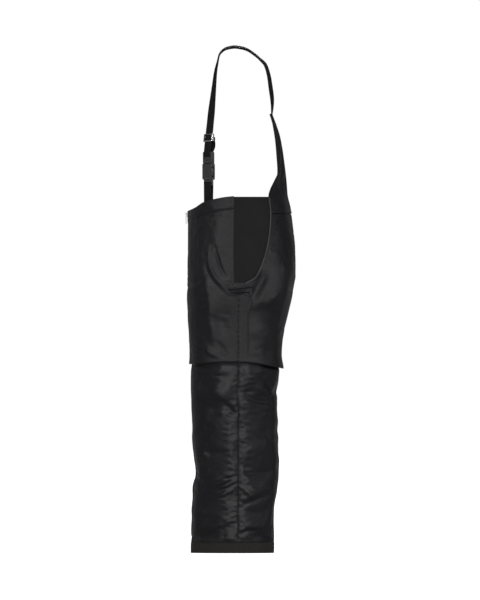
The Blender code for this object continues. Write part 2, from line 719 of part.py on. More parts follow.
clear_scene()
groups = {}
for key, title in (("parts", NAME), ("cutters", "cutters")):
    groups[key] = bpy.data.collections.new(title)
    bpy.context.scene.collection.children.link(groups[key])
mats = make_materials()
build()
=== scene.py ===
"""Looks of the chainsaw bib chaps: cloth, webbing, stitching, fittings and their materials.

Metres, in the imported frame: +Z up, the wearer faces -Y, the wearer's left is +X.
"""
import math

import bpy
import numpy as np
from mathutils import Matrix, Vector


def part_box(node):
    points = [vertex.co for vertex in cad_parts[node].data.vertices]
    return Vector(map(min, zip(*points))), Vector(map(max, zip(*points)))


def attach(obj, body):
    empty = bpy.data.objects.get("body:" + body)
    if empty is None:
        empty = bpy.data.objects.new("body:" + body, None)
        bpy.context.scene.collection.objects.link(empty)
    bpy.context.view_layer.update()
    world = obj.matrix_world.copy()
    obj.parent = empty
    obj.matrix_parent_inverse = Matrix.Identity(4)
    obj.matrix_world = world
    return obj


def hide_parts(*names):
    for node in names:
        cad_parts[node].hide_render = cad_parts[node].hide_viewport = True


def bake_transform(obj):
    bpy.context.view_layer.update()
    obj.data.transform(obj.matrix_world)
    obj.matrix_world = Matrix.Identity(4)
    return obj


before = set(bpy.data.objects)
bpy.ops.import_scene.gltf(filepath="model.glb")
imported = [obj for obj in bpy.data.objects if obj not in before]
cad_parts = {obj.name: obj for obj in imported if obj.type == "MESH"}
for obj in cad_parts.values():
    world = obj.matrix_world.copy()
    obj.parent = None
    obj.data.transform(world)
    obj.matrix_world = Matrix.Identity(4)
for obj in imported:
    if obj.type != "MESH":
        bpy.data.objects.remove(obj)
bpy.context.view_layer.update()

SIDES = (("left", 1), ("right", -1))
rng = np.random.default_rng(11)

# --- camera, light and floor ---

CAMERA_DISTANCE = 60.0
FRAME_HEIGHT = 1.71
CAMERA_AIM = (0.0, -0.003, 0.7195)


def make_camera():
    data = bpy.data.cameras.new("camera")
    data.lens = data.sensor_width * CAMERA_DISTANCE / FRAME_HEIGHT
    data.clip_start = 0.5
    data.clip_end = 400.0
    camera = bpy.data.objects.new("camera", data)
    bpy.context.scene.collection.objects.link(camera)
    camera.location = (CAMERA_AIM[0] + CAMERA_DISTANCE, CAMERA_AIM[1], CAMERA_AIM[2])
    camera.rotation_euler = (math.pi / 2, 0.0, math.pi / 2)
    bpy.context.scene.camera = camera


def soft_sun(name, toward, angle, strength):
    """A large soft light whose rays come from the direction toward."""
    data = bpy.data.lights.new(name, "SUN")
    data.energy = strength
    data.angle = math.radians(angle)
    light = bpy.data.objects.new(name, data)
    bpy.context.scene.collection.objects.link(light)
    light.rotation_euler = Vector(toward).to_track_quat("Z", "Y").to_euler()


# Name, direction that the light comes from, width in degrees, strength.
SUNS = (
    ("key", (1.0, -0.01, 0.33), 10, 2.5),
    ("side", (0.5, 0.85, 0.3), 20, 0.37),
    ("front", (-0.3, -1.0, 0.35), 25, 0.21),
    ("back", (-0.6, 0.2, 0.8), 50, 0.1),
    ("far_side", (-1.0, 0.0, 0.33), 10, 2.0),
    ("top", (0.05, 0.0, 1.0), 70, 0.4),
)
WORLD_STRENGTH = 0.09
FLOOR_SHADE = 0.47


def make_studio():
    """Lights, a background that the camera sees as white, and a floor that it sees as white too."""
    for sun in SUNS:
        soft_sun(*sun)
    world = bpy.data.worlds.new("studio")
    world.use_nodes = True
    bpy.context.scene.world = world
    tree = world.node_tree
    soft = tree.nodes["Background"]
    soft.inputs["Color"].default_value = (1.0, 1.0, 1.0, 1.0)
    soft.inputs["Strength"].default_value = WORLD_STRENGTH
    white = tree.nodes.new("ShaderNodeBackground")
    white.inputs["Color"].default_value = (1.0, 1.0, 1.0, 1.0)
    path = tree.nodes.new("ShaderNodeLightPath")
    mix = tree.nodes.new("ShaderNodeMixShader")
    tree.links.new(path.outputs["Is Camera Ray"], mix.inputs["Fac"])
    tree.links.new(soft.outputs[0], mix.inputs[1])
    tree.links.new(white.outputs[0], mix.inputs[2])
    tree.links.new(mix.outputs[0], tree.nodes["World Output"].inputs["Surface"])
    bpy.context.scene.view_settings.view_transform = "Standard"

    bpy.ops.mesh.primitive_circle_add(vertices=96, radius=40.0, fill_type="NGON", location=(0, 0, -0.0006))
    floor = bpy.context.object
    floor.name = "floor"
    mat = bpy.data.materials.new("floor")
    mat.use_nodes = True
    shader = mat.node_tree.nodes["Principled BSDF"]
    shader.inputs["Base Color"].default_value = (FLOOR_SHADE, FLOOR_SHADE, FLOOR_SHADE, 1.0)
    shader.inputs["Roughness"].default_value = 1.0
    shader.inputs["Specular IOR Level"].default_value = 0.0
    shader.inputs["Emission Color"].default_value = (1.0, 1.0, 1.0, 1.0)
    seen = mat.node_tree.nodes.new("ShaderNodeLightPath").outputs["Is Camera Ray"]
    mat.node_tree.links.new(seen, shader.inputs["Emission Strength"])
    floor.data.materials.append(mat)


# --- node materials ---

class Nodes:
    """Small helper to build one material's nodes."""

    def __init__(self, name):
        self.mat = bpy.data.materials.new(name)
        self.mat.use_nodes = True
        self.tree = self.mat.node_tree
        self.shader = self.tree.nodes["Principled BSDF"]

    def add(self, kind, **inputs):
        node = self.tree.nodes.new("ShaderNode" + kind)
        for key, value in inputs.items():
            self.put(node.inputs[key.replace("_", " ")], value)
        return node

    def put(self, socket, value):
        if isinstance(value, bpy.types.NodeSocket):
            self.tree.links.new(value, socket)
        else:
            socket.default_value = value

    def math(self, operation, a, b=0.0):
        node = self.tree.nodes.new("ShaderNodeMath")
        node.operation = operation
        self.put(node.inputs[0], a)
        self.put(node.inputs[1], b)
        return node.outputs[0]

    def cloth_coordinate(self):
        """The piece's own flat coordinate in metres, across (x) and along (y) the cloth."""
        node = self.tree.nodes.new("ShaderNodeAttribute")
        node.attribute_name = "cloth"
        return node.outputs["Vector"]

    def object_coordinate(self):
        return self.tree.nodes.new("ShaderNodeTexCoord").outputs["Object"]

    def noise(self, vector, scale, detail=3.0, roughness=0.55):
        node = self.add("TexNoise", Vector=vector, Scale=scale, Detail=detail, Roughness=roughness)
        return node.outputs["Fac"]

    def ramp(self, value, low, high, a, b):
        node = self.tree.nodes.new("ShaderNodeMapRange")
        node.clamp = True
        self.put(node.inputs["Value"], value)
        for key, number in (("From Min", low), ("From Max", high), ("To Min", a), ("To Max", b)):
            self.put(node.inputs[key], number)
        return node.outputs[0]

    def mix_color(self, factor, a, b):
        node = self.tree.nodes.new("ShaderNodeMix")
        node.data_type = "RGBA"
        self.put(node.inputs[0], factor)
        self.put(node.inputs[6], (*a, 1.0) if isinstance(a, tuple) else a)
        self.put(node.inputs[7], (*b, 1.0) if isinstance(b, tuple) else b)
        return node.outputs[2]

    def wave(self, value, pitch):
        return self.math("SINE", self.math("MULTIPLY", value, 2 * math.pi / pitch))

    def shade(self, value, dark, light, low=0.3, high=0.7):
        """A colour between dark and light, by where a value lies between low and high."""
        return self.mix_color(self.ramp(value, low, high, 0.0, 1.0), dark, light)

    def bump(self, height, distance, strength=1.0, normal=None):
        node = self.add("Bump", Height=height, Distance=distance, Strength=strength)
        if normal is not None:
            self.put(node.inputs["Normal"], normal)
        return node.outputs[0]

    def finish(self, color, roughness, normal=None, **fixed):
        self.put(self.shader.inputs["Base Color"], (*color, 1.0) if isinstance(color, tuple) else color)
        self.put(self.shader.inputs["Roughness"], roughness)
        if normal is not None:
            self.put(self.shader.inputs["Normal"], normal)
        for key, value in fixed.items():
            self.shader.inputs[key.replace("_", " ")].default_value = value
        return self.mat


def woven_cloth(name, dark, light, pitch, thread, roughness, spec, sheen, crumple):
    """Woven synthetic cloth: weave, slubs, small crumples, and a painted highlight that lightens the raised
    threads.
    """
    n = Nodes(name)
    at = n.cloth_coordinate()
    parts = n.add("SeparateXYZ", Vector=at)
    weave = n.math("MULTIPLY", n.wave(parts.outputs[0], pitch), n.wave(parts.outputs[1], pitch))
    slub = n.noise(at, 900.0, 2.0)
    broad = n.noise(at, 9.0, 4.0)
    crumpled = n.noise(at, 38.0, 4.0, 0.6)
    color = n.shade(broad, dark, light)
    # painted highlight: the weave's raised threads are mixed toward a brighter copy of the light colour
    color = n.mix_color(n.ramp(weave, 0.2, 1.0, 0.0, 0.35), color, tuple(min(1.0, c * 2.2) for c in light))
    rough = n.math("ADD", n.ramp(broad, 0.25, 0.75, roughness - 0.05, roughness + 0.05),
                   n.ramp(slub, 0.3, 0.7, -0.03, 0.03))
    normal = n.bump(crumpled, crumple)
    normal = n.bump(weave, thread, 0.8, normal)
    normal = n.bump(slub, thread * 0.6, 0.5, normal)
    return n.finish(color, rough, normal, Specular_IOR_Level=spec, Sheen_Weight=sheen, Sheen_Roughness=0.35,
                    Sheen_Tint=(0.86, 0.84, 0.95, 1.0))


def knit_cloth(name):
    """Matt stretch knit: fine vertical ribs and a soft fuzz."""
    n = Nodes(name)
    at = n.cloth_coordinate()
    parts = n.add("SeparateXYZ", Vector=at)
    rib = n.wave(parts.outputs[0], 0.0011)
    loop = n.wave(parts.outputs[1], 0.0016)
    knit = n.math("ADD", rib, n.math("MULTIPLY", loop, 0.5))
    broad = n.noise(at, 14.0, 3.0)
    fuzz = n.noise(at, 700.0, 3.0)
    color = n.shade(broad, (0.0117,) * 3, (0.0149,) * 3)
    # painted highlight: the knit's raised ribs and loops are lightened
    color = n.mix_color(n.ramp(knit, 0.2, 1.5, 0.0, 0.4), color, (0.0214,) * 3)
    normal = n.bump(knit, 0.00018, 0.7)
    normal = n.bump(fuzz, 0.0002, 0.5, normal)
    return n.finish(color, n.ramp(fuzz, 0.3, 0.7, 0.86, 0.96), normal, Specular_IOR_Level=0.1,
                    Sheen_Weight=0.02, Sheen_Roughness=0.6)


def webbing_cloth(name, dark, light):
    """Heavy ribbed webbing: chevron ribs along its length, with a painted highlight on the raised threads."""
    n = Nodes(name)
    at = n.cloth_coordinate()
    parts = n.add("SeparateXYZ", Vector=at)
    across = n.math("ABSOLUTE", parts.outputs[0])
    slant = n.math("ADD", parts.outputs[1], n.math("MULTIPLY", n.math("PINGPONG", across, 0.004), 0.9))
    cross = n.wave(slant, 0.0019)
    rib = n.wave(across, 0.004)
    relief = n.math("ADD", cross, n.math("MULTIPLY", rib, 0.6))
    slub = n.noise(at, 800.0, 2.0)
    wear_tone_and_edge_highlight = n.noise(at, 40.0, 4.0)
    color = n.shade(wear_tone_and_edge_highlight, dark, light, high=0.75)
    # painted highlight: the raised ribs and threads are mixed toward a brighter copy of the light colour
    color = n.mix_color(n.ramp(relief, 0.4, 1.5, 0.0, 0.5), color, tuple(c * 2.0 for c in light))
    normal = n.bump(relief, 0.0003, 0.8)
    normal = n.bump(slub, 0.0001, 0.5, normal)
    return n.finish(color, n.ramp(slub, 0.3, 0.7, 0.8, 0.92), normal, Specular_IOR_Level=0.01,
                    Sheen_Weight=0.0, Sheen_Roughness=0.4)


def moulded_plastic(name):
    """Injection-moulded acetal: fine grain, a painted highlight on its edges, faint flow marks."""
    n = Nodes(name)
    at = n.object_coordinate()
    grain = n.noise(at, 2600.0, 2.0)
    flow = n.noise(at, 60.0, 3.0)
    edge = n.add("NewGeometry").outputs["Pointiness"]
    # painted highlight: sharp convex edges (high pointiness) are lightened
    wear_tone_and_edge_highlight = n.ramp(edge, 0.52, 0.62, 0.0, 0.5)
    color = n.shade(flow, (0.024, 0.024, 0.0248), (0.03, 0.03, 0.031))
    color = n.mix_color(wear_tone_and_edge_highlight, color, (0.04, 0.04, 0.042))
    rough = n.math("ADD", n.ramp(flow, 0.3, 0.7, 0.26, 0.36), n.ramp(grain, 0.3, 0.7, -0.03, 0.03))
    normal = n.bump(grain, 0.00005, 0.5)
    return n.finish(color, rough, normal, Specular_IOR_Level=0.5)


def plated_metal(name, tint, roughness):
    """Nickel-plated steel or zinc: fine scratches, cloudy roughness and painted shade in the hollows."""
    n = Nodes(name)
    at = n.object_coordinate()
    cloud = n.noise(at, 120.0, 4.0)
    scratch = n.noise(at, 1500.0, 2.0, 0.8)
    edge = n.add("NewGeometry").outputs["Pointiness"]
    # painted shade: hollows (low pointiness) are darkened
    painted_hollow_shade = n.ramp(edge, 0.42, 0.5, 0.55, 0.0)
    color = n.mix_color(painted_hollow_shade, tint, tuple(c * 0.35 for c in tint))
    rough = n.math("ADD", n.ramp(cloud, 0.3, 0.7, roughness - 0.06, roughness + 0.08),
                   n.ramp(scratch, 0.45, 0.75, 0.0, 0.08))
    normal = n.bump(scratch, 0.00003, 0.4)
    return n.finish(color, rough, normal, Metallic=1.0)


def fibre_pad(name):
    """Layers of loose cut-stopping fibre."""
    n = Nodes(name)
    at = n.cloth_coordinate()
    stretched = n.add("VectorMath", Vector=at)
    stretched.operation = "MULTIPLY"
    stretched.inputs[1].default_value = (260.0, 26.0, 1.0)
    strands = n.noise(stretched.outputs[0], 6.0, 4.0, 0.7)
    color = n.shade(strands, (0.46, 0.44, 0.37), (0.74, 0.72, 0.64))
    return n.finish(color, 0.9, n.bump(strands, 0.0012), Specular_IOR_Level=0.1)


def make_materials():
    """Every material. A woven cloth has its two colours, thread pitch and height, roughness, specular,
    sheen and crumple height."""
    cool, lit = (0.005, 0.0047, 0.0058), (0.0072, 0.0068, 0.0084)
    woven = {
        "shell": ("shell_cloth", cool, lit, 0.0011, 0.00008, 0.47, 0.22, 0.02, 0.0006),
        "leg": ("leg_cloth", cool, lit, 0.0009, 0.00006, 0.43, 0.22, 0.02, 0.0008),
        # painted highlight: the piping is a lighter copy of the shell cloth, starting from the shell's light
        # colour, for the light along its rolled edge
        "piping": ("piping_cloth", lit, (0.014, 0.013, 0.016), 0.0009, 0.00006, 0.4, 0.3, 0.03, 0.0004),
        "hem": ("hem_cloth", (0.015, 0.013, 0.0124), (0.02, 0.0174, 0.0166), 0.0012, 0.00014, 0.8, 0.15, 0.04,
                0.0008),
        "lining": ("lining_cloth", (0.0075, 0.0075, 0.008), (0.01, 0.01, 0.0108), 0.0007, 0.00006, 0.6, 0.3,
                   0.04, 0.0015),
        "thread": ("thread", (0.0056, 0.0053, 0.0064), (0.008, 0.0076, 0.0092), 0.0005, 0.00005, 0.5, 0.3,
                   0.05, 0.0001),
        "tape": ("tape_cloth", (0.009, 0.009, 0.0095), (0.013, 0.013, 0.0137), 0.0012, 0.00018, 0.7, 0.2,
                 0.04, 0.0002),
    }
    materials = {key: woven_cloth(*values) for key, values in woven.items()}
    materials["stretch"] = knit_cloth("stretch_cloth")
    materials["webbing"] = webbing_cloth("webbing_cloth", (0.0172, 0.0159, 0.0164), (0.0234, 0.0214, 0.0222))
    materials["pad"] = fibre_pad("cut_fibre")
    materials["plastic"] = moulded_plastic("buckle_plastic")
    materials["metal"] = plated_metal("plated_steel", (0.72, 0.72, 0.74), 0.22)
    materials["zinc"] = plated_metal("zip_metal", (0.3, 0.3, 0.31), 0.34)
    return materials


# --- numbers and meshes ---

def along(profile, at):
    """Values of a smooth line through (place, value) points, at an array of places."""
    places, values = (np.array(column, float) for column in zip(*profile))
    slopes = np.empty_like(values)
    slopes[1:-1] = (values[2:] - values[:-2]) / (places[2:] - places[:-2])
    slopes[0] = (values[1] - values[0]) / (places[1] - places[0])
    slopes[-1] = (values[-1] - values[-2]) / (places[-1] - places[-2])
    at = np.clip(np.asarray(at, float), places[0], places[-1])
    k = np.clip(np.searchsorted(places, at) - 1, 0, len(places) - 2)
    step = places[k + 1] - places[k]
    t = (at - places[k]) / step
    value = (2 * t ** 3 - 3 * t ** 2 + 1) * values[k] + (t ** 3 - 2 * t ** 2 + t) * step * slopes[k]
    return value + (3 * t ** 2 - 2 * t ** 3) * values[k + 1] + (t ** 3 - t ** 2) * step * slopes[k + 1]


def ease(value, low, high):
    t = np.clip((np.asarray(value, float) - low) / (high - low), 0.0, 1.0)
    return t * t * (3 - 2 * t)


def hump(distance, width):
    return np.exp(-(distance / width) ** 2)


def grid_faces(rows, columns, flip=False, closed=False):
    r, c = np.meshgrid(np.arange(rows - 1), np.arange(columns if closed else columns - 1), indexing="ij")
    d = (c + 1) % columns
    faces = np.stack([r * columns + c, r * columns + d, (r + 1) * columns + d, (r + 1) * columns + c], -1)
    faces = faces.reshape(-1, 4)
    return faces[:, ::-1] if flip else faces


def grid_normals(grid, flip=False):
    """Unit normals of a grid of points, from its rows and columns."""
    across = np.gradient(grid, axis=1)
    up = np.gradient(grid, axis=0)
    normal = np.cross(across, up)
    normal /= np.maximum(np.linalg.norm(normal, axis=-1, keepdims=True), 1e-12)
    return -normal if flip else normal


def flat_coordinates(grid):
    """Each point's place on the flat cloth: distance along its row from the middle, and along its column."""
    across = np.zeros(grid.shape[:2])
    across[:, 1:] = np.cumsum(np.linalg.norm(np.diff(grid, axis=1), axis=-1), axis=1)
    across -= across[:, -1:] / 2
    up = np.zeros(grid.shape[:2])
    up[1:] = np.cumsum(np.linalg.norm(np.diff(grid, axis=0), axis=-1), axis=0)
    return across, up


def add_mesh(name, points, faces, mat, coordinates=None, smooth=True):
    mesh = bpy.data.meshes.new(name)
    mesh.from_pydata(points.reshape(-1, 3).tolist(), [], [list(map(int, f)) for f in faces])
    if smooth:
        mesh.shade_smooth()
    if coordinates is not None:
        store = mesh.attributes.new("cloth", "FLOAT_VECTOR", "POINT")
        flat = np.zeros((len(mesh.vertices), 3), np.float32)
        flat[:, 0] = coordinates[0].ravel()
        flat[:, 1] = coordinates[1].ravel()
        store.data.foreach_set("vector", flat.ravel())
    mesh.materials.append(mats[mat])
    item = bpy.data.objects.new(name, mesh)
    bpy.context.scene.collection.objects.link(item)
    return item


def add_modifier(item, kind, **settings):
    modifier = item.modifiers.new(kind.title(), kind)
    for key, value in settings.items():
        setattr(modifier, key, value)
    return modifier


def thicken(item, thickness, offset=-1.0, levels=1):
    """One subdivision for a smooth surface, then the cloth's thickness with rounded edges."""
    if levels:
        add_modifier(item, "SUBSURF", levels=levels, render_levels=levels)
    add_modifier(item, "SOLIDIFY", thickness=thickness, offset=offset)
    add_modifier(item, "BEVEL", width=thickness * 0.35, segments=2, limit_method="ANGLE", angle_limit=1.0)


def settle(item, body, slot, *nodes):
    """Rides the piece on its body, and lets it stand for its CAD nodes by hiding them."""
    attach(item, body)
    if nodes:
        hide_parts(*nodes)
    return item


def declare_sheet(item, grid, held, **places):
    """Works out the flat coordinates of the cloth that a piece's grid was cut from; nothing more is done with
    them.
    """
    across, up = flat_coordinates(grid)


def mirrored(points, side):
    """The left side's points, or their mirror image for the right side."""
    return points * np.array((side, 1, 1))


def cloth_piece(node, side, grid, coordinates, mat, thickness, flip=None, closed=False, levels=1):
    """A cloth on a grid that is already on its side of the body; it stands for one CAD node."""
    faces = grid_faces(*grid.shape[:2], flip=side < 0 if flip is None else flip, closed=closed)
    item = add_mesh(f"{node}_cloth", grid, faces, mat, coordinates)
    thicken(item, thickness, levels=levels)
    return settle(item, "root", mat, node)


def tube_faces(rows, columns, flip, cap_flip):
    """Faces of a closed tube of points, with a cap on each end."""
    last = (rows - 1) * columns
    caps = [tuple(range(columns)), tuple(range(last + columns - 1, last - 1, -1))]
    if cap_flip:
        caps = [cap[::-1] for cap in caps]
    return [tuple(f) for f in grid_faces(rows, columns, flip=flip, closed=True)] + caps


def run_length(points):
    """Distance along a line of points."""
    return np.concatenate([[0.0], np.cumsum(np.linalg.norm(np.diff(points, axis=0), axis=1))])


# --- the garment's outline ---

SEAM_Y = -0.009
LEG_CENTRE = 0.103
CROTCH = 0.745
TRUNK_START = 0.81
YOKE_SEAM = 0.968
GUSSET_TOP = 1.013
HEM_TOP = 0.031
SHELL_FRONT = (
    (0.535, -0.1435), (0.62, -0.148), (0.7, -0.1515), (0.8, -0.1515), (1.02, -0.1515),
)
SHELL_BACK = (
    (0.52, 0.1165), (0.57, 0.1165), (0.617, 0.12), (0.685, 0.134), (0.731, 0.145),
    (0.79, 0.154), (0.868, 0.154), (0.913, 0.149), (0.973, 0.1425), (1.02, 0.135),
)
SHELL_SIDE = (
    (0.52, 0.1985), (0.65, 0.202), (0.745, 0.2065), (0.8, 0.202), (0.87, 0.19),
    (0.95, 0.179), (1.02, 0.173),
)
LEG_FRONT = (
    (0.000, -0.1435), (0.09, -0.1405), (0.18, -0.1385), (0.229, -0.13), (0.29, -0.137),
    (0.44, -0.1405), (0.5, -0.1415), (0.56, -0.1395), (0.72, -0.1395),
)
LEG_BACK = (
    (0.000, 0.094), (0.12, 0.095), (0.18, 0.102), (0.23, 0.1045), (0.32, 0.103),
    (0.45, 0.103), (0.51, 0.1075), (0.56, 0.11), (0.72, 0.11),
)
LEG_HALF_WIDTH = (
    (0.000, 0.082), (0.12, 0.0835), (0.23, 0.084), (0.4, 0.088), (0.56, 0.0915), (0.72, 0.093),
)
BIB_EDGE = ((-0.1515, 0.973), (-0.131, 0.982), (-0.106, 0.998), (-0.057, 1.0105), (-0.02, 1.015))
SHELL_HEM = ((-0.1435, 0.537), (-0.066, 0.543), (-0.009, 0.544), (0.043, 0.54), (0.1165, 0.524))
BACK_EDGE = (
    (0.755, -0.0082), (0.7625, 0.002), (0.768, 0.016), (0.774, 0.0285), (0.785, 0.043),
    (0.824, 0.061), (0.871, 0.075), (0.925, 0.083), (0.968, 0.0845), (1.016, 0.079),
)
FRONT_EDGE = ((0.74, -0.0096), (0.775, -0.02), (1.02, -0.02))
SEAM_GAP = 0.0003


def shell_section(z):
    """Middle, half width, front and back depth of the shell at heights z; then how much its corners
    widen and how square its back is."""
    centre = LEG_CENTRE * (1.0 - ease(z, CROTCH, TRUNK_START))
    widen = LEG_CENTRE * (1.0 - ease(z, CROTCH, 1.00)) - centre
    front, back = SEAM_Y - along(SHELL_FRONT, z), along(SHELL_BACK, z) - SEAM_Y
    return centre, along(SHELL_SIDE, z) - centre, front, back, widen, 3.0 + 1.6 * hump(z - 0.765, 0.06)


def leg_section(z):
    z = np.asarray(z, float)
    centre = np.full(z.shape, LEG_CENTRE)
    front, back = SEAM_Y - along(LEG_FRONT, z), along(LEG_BACK, z) - SEAM_Y
    return centre, along(LEG_HALF_WIDTH, z), front, back, 0.0, 2.0


def fuller(angle, exponent):
    """Cosine of an angle on a section that is squarer than an ellipse on its outer side; 2 is an ellipse."""
    cosine, sine = np.cos(angle), np.abs(np.sin(angle))
    outer = np.clip(-cosine, 0.0, 1.0)
    square = (1.0 - np.minimum(sine, 1.0) ** exponent) ** (1.0 / exponent)
    return np.where(cosine < 0, -(outer + (square - outer) * ease(outer, 0.1, 0.5)), cosine)


def out_of_middle(section, angle, inset, exponent):
    """Distance from the garment's middle plane at an angle round a section."""
    shape = fuller(angle, exponent)
    outer = np.clip(-shape, 0.0, 1.0)
    return section[0] - (section[1] - inset) * shape + section[4] * (1.0 - outer) * ease(outer, 0.0, 0.25)


def on_section(section, angle, inset, back, front_exponent=3.0):
    depth = section[3] - inset if back else inset - section[2]
    exponent = section[5] if back else front_exponent
    return out_of_middle(section, angle, inset, exponent), SEAM_Y + depth * np.sin(angle)


def inner_angle(section, depth, opening):
    centre, half = section[0], section[1]
    at_middle = np.where(half > centre - opening, np.arccos(np.clip((centre - opening) / half, -1, 1)), 0.0)
    return np.maximum(at_middle, np.arcsin(SEAM_GAP / depth))


def outer_angle(depth, distance):
    return math.pi - np.arcsin(np.clip(distance / depth, 0.0, 1.0))


def side_point(z, y, inset):
    """A point on the shell's outer side at heights z and places y."""
    z, y = np.broadcast_arrays(np.asarray(z, float), np.asarray(y, float))
    section = shell_section(z)
    back = y > SEAM_Y
    depth = np.where(back, section[3], section[2])
    angle = outer_angle(depth, np.abs(y - SEAM_Y))
    x = out_of_middle(section, angle, inset, np.where(back, section[5], 3.0))
    reach = (depth - inset) * np.sin(angle)
    return np.stack([x, SEAM_Y + np.where(back, reach, -reach), z], -1)


# --- folds ---

class Fold:
    """A ridge or valley along a line on the side of the garment, as (Y, Z) points."""

    def __init__(self, line, width, height, lee=0.0):
        self.line, self.width, self.height, self.lee = np.array(line, float), width, height, lee

    def lift(self, y, z):
        """Height of the fold at places on the side: highest on its line, fading at both ends.
        A lee is a hollow alongside it, as a share of its height, on its left as the line runs."""
        best = np.full(y.shape, 1e9)
        signed = np.zeros(y.shape)
        share = np.zeros(y.shape)
        lengths = np.linalg.norm(np.diff(self.line, axis=0), axis=1)
        run = 0.0
        for (a, b), length in zip(zip(self.line[:-1], self.line[1:]), lengths):
            d = (b - a) / length
            t = np.clip((y - a[0]) * d[0] + (z - a[1]) * d[1], 0.0, length)
            dy, dz = y - a[0] - t * d[0], z - a[1] - t * d[1]
            distance = np.hypot(dy, dz)
            closer = distance < best
            best = np.where(closer, distance, best)
            signed = np.where(closer, np.sign(d[0] * dz - d[1] * dy) * distance, signed)
            share = np.where(closer, (run + t) / lengths.sum(), share)
            run += length
        fade = np.sin(math.pi * np.clip(share, 0.03, 0.97)) ** 0.5
        ridge = hump(best, self.width)
        hollow = self.lee * hump(signed - 1.7 * self.width, self.width) if self.lee else 0.0
        return self.height * fade * (ridge - hollow)


SHELL_FOLDS = (
    Fold(((-0.036, 0.743), (-0.057, 0.764), (-0.074, 0.783), (-0.087, 0.809), (-0.094, 0.842),
          (-0.0915, 0.876)), 0.0062, 0.0048, 0.45),
    Fold(((-0.075, 0.874), (-0.07, 0.85), (-0.06, 0.815), (-0.044, 0.783)), 0.0042, -0.004),
    Fold(((0.086, 0.738), (0.107, 0.719)), 0.025, 0.0105),
    Fold(((0.074, 0.798), (0.052, 0.762), (0.03, 0.722)), 0.0125, -0.0085),
    Fold(((0.02, 0.7), (0.06, 0.715), (0.1, 0.7)), 0.016, 0.003),
    Fold(((0.03, 0.64), (0.066, 0.612), (0.06, 0.575)), 0.016, 0.0035),
    Fold(((-0.107, 0.594), (-0.09, 0.57), (-0.05, 0.55)), 0.0055, 0.0042, -0.5),
    Fold(((-0.067, 0.6), (-0.048, 0.574), (-0.032, 0.549)), 0.006, -0.0036),
    Fold(((-0.11, 0.935), (-0.128, 0.912), (-0.146, 0.88)), 0.0045, 0.0016, 0.5),
    Fold(((-0.12, 0.915), (-0.134, 0.89), (-0.147, 0.85)), 0.0045, 0.0014, 0.5),
    Fold(((-0.06, 0.96), (-0.072, 0.905), (-0.07, 0.86)), 0.012, 0.0022),
    Fold(((-0.104, 0.8), (-0.096, 0.74), (-0.084, 0.66), (-0.076, 0.59)), 0.015, 0.006),
    Fold(((-0.05, 0.74), (-0.046, 0.6)), 0.016, -0.002),
    Fold(((0.07, 0.88), (0.098, 0.855), (0.12, 0.83)), 0.013, 0.0016, 0.4),
    Fold(((0.06, 0.66), (0.095, 0.64), (0.125, 0.645)), 0.012, -0.0024),
)
LEG_FOLDS = (
    Fold(((-0.1, 0.47), (-0.06, 0.456), (-0.02, 0.47)), 0.02, 0.005),
    Fold(((-0.058, 0.434), (-0.04, 0.422), (-0.012, 0.388)), 0.0065, -0.0052),
    Fold(((-0.06, 0.401), (-0.048, 0.396)), 0.009, 0.0034),
    Fold(((0.004, 0.456), (0.04, 0.433), (0.08, 0.428), (0.104, 0.41)), 0.0075, -0.0064, -0.5),
    Fold(((0.045, 0.502), (0.075, 0.485), (0.104, 0.445)), 0.009, -0.0076, -0.6),
    Fold(((0.03, 0.478), (0.07, 0.462), (0.104, 0.43)), 0.0075, 0.003),
    Fold(((-0.142, 0.226), (-0.122, 0.208), (-0.098, 0.18)), 0.0075, -0.007, -0.5),
    Fold(((-0.124, 0.228), (-0.11, 0.2), (-0.1, 0.178)), 0.0045, 0.0036),
    Fold(((-0.016, 0.218), (-0.05, 0.204), (-0.098, 0.19)), 0.006, -0.0036),
    Fold(((-0.016, 0.208), (-0.048, 0.192), (-0.086, 0.172)), 0.006, 0.005),
    Fold(((-0.018, 0.184), (-0.05, 0.17), (-0.08, 0.154)), 0.006, 0.0034),
    Fold(((-0.143, 0.185), (-0.125, 0.174), (-0.104, 0.17)), 0.005, -0.0028),
    Fold(((0.01, 0.138), (0.05, 0.156), (0.1, 0.172)), 0.0075, -0.0046, 0.5),
    Fold(((0.002, 0.186), (0.024, 0.17), (0.034, 0.156)), 0.006, 0.004),
    Fold(((-0.004, 0.054), (0.02, 0.064), (0.05, 0.064)), 0.0055, -0.004, 0.5),
    Fold(((-0.012, 0.091), (-0.04, 0.076), (-0.074, 0.066)), 0.0055, -0.0036, -0.6),
    Fold(((-0.06, 0.101), (-0.1, 0.099), (-0.135, 0.103)), 0.008, -0.0022),
    Fold(((0.03, 0.24), (0.06, 0.226), (0.096, 0.234)), 0.009, -0.0018),
    Fold(((0.05, 0.27), (0.066, 0.25)), 0.01, 0.002),
)


def seam_puckers(y_side, count, low, high, reach, height):
    """Short slanted ridges that a seam gathers on one side of it (-1 front, 1 back)."""
    folds = []
    for z in np.linspace(low, high, count):
        z = z + rng.uniform(-0.004, 0.004)
        length = reach(z) * rng.uniform(0.45, 1.25)
        slant = rng.uniform(-0.55, 0.55) * length
        start = (SEAM_Y + y_side * 0.0012, z)
        middle = (SEAM_Y + y_side * length * 0.5, z + slant * 0.35)
        stop = (SEAM_Y + y_side * length, z + slant)
        width = rng.uniform(0.0024, 0.0042)
        folds.append(Fold((start, middle, stop), width, height * rng.uniform(0.6, 1.25), 0.6))
    return folds


def lift_all(folds, y, z):
    """Sum of folds, each worked out only near its own line."""
    total = np.zeros(y.shape)
    for fold in folds:
        margin = 4 * fold.width
        near = (
            (y > fold.line[:, 0].min() - margin) & (y < fold.line[:, 0].max() + margin)
            & (z > fold.line[:, 1].min() - margin) & (z < fold.line[:, 1].max() + margin)
        )
        if near.any():
            total[near] += fold.lift(y[near], z[near])
    return total


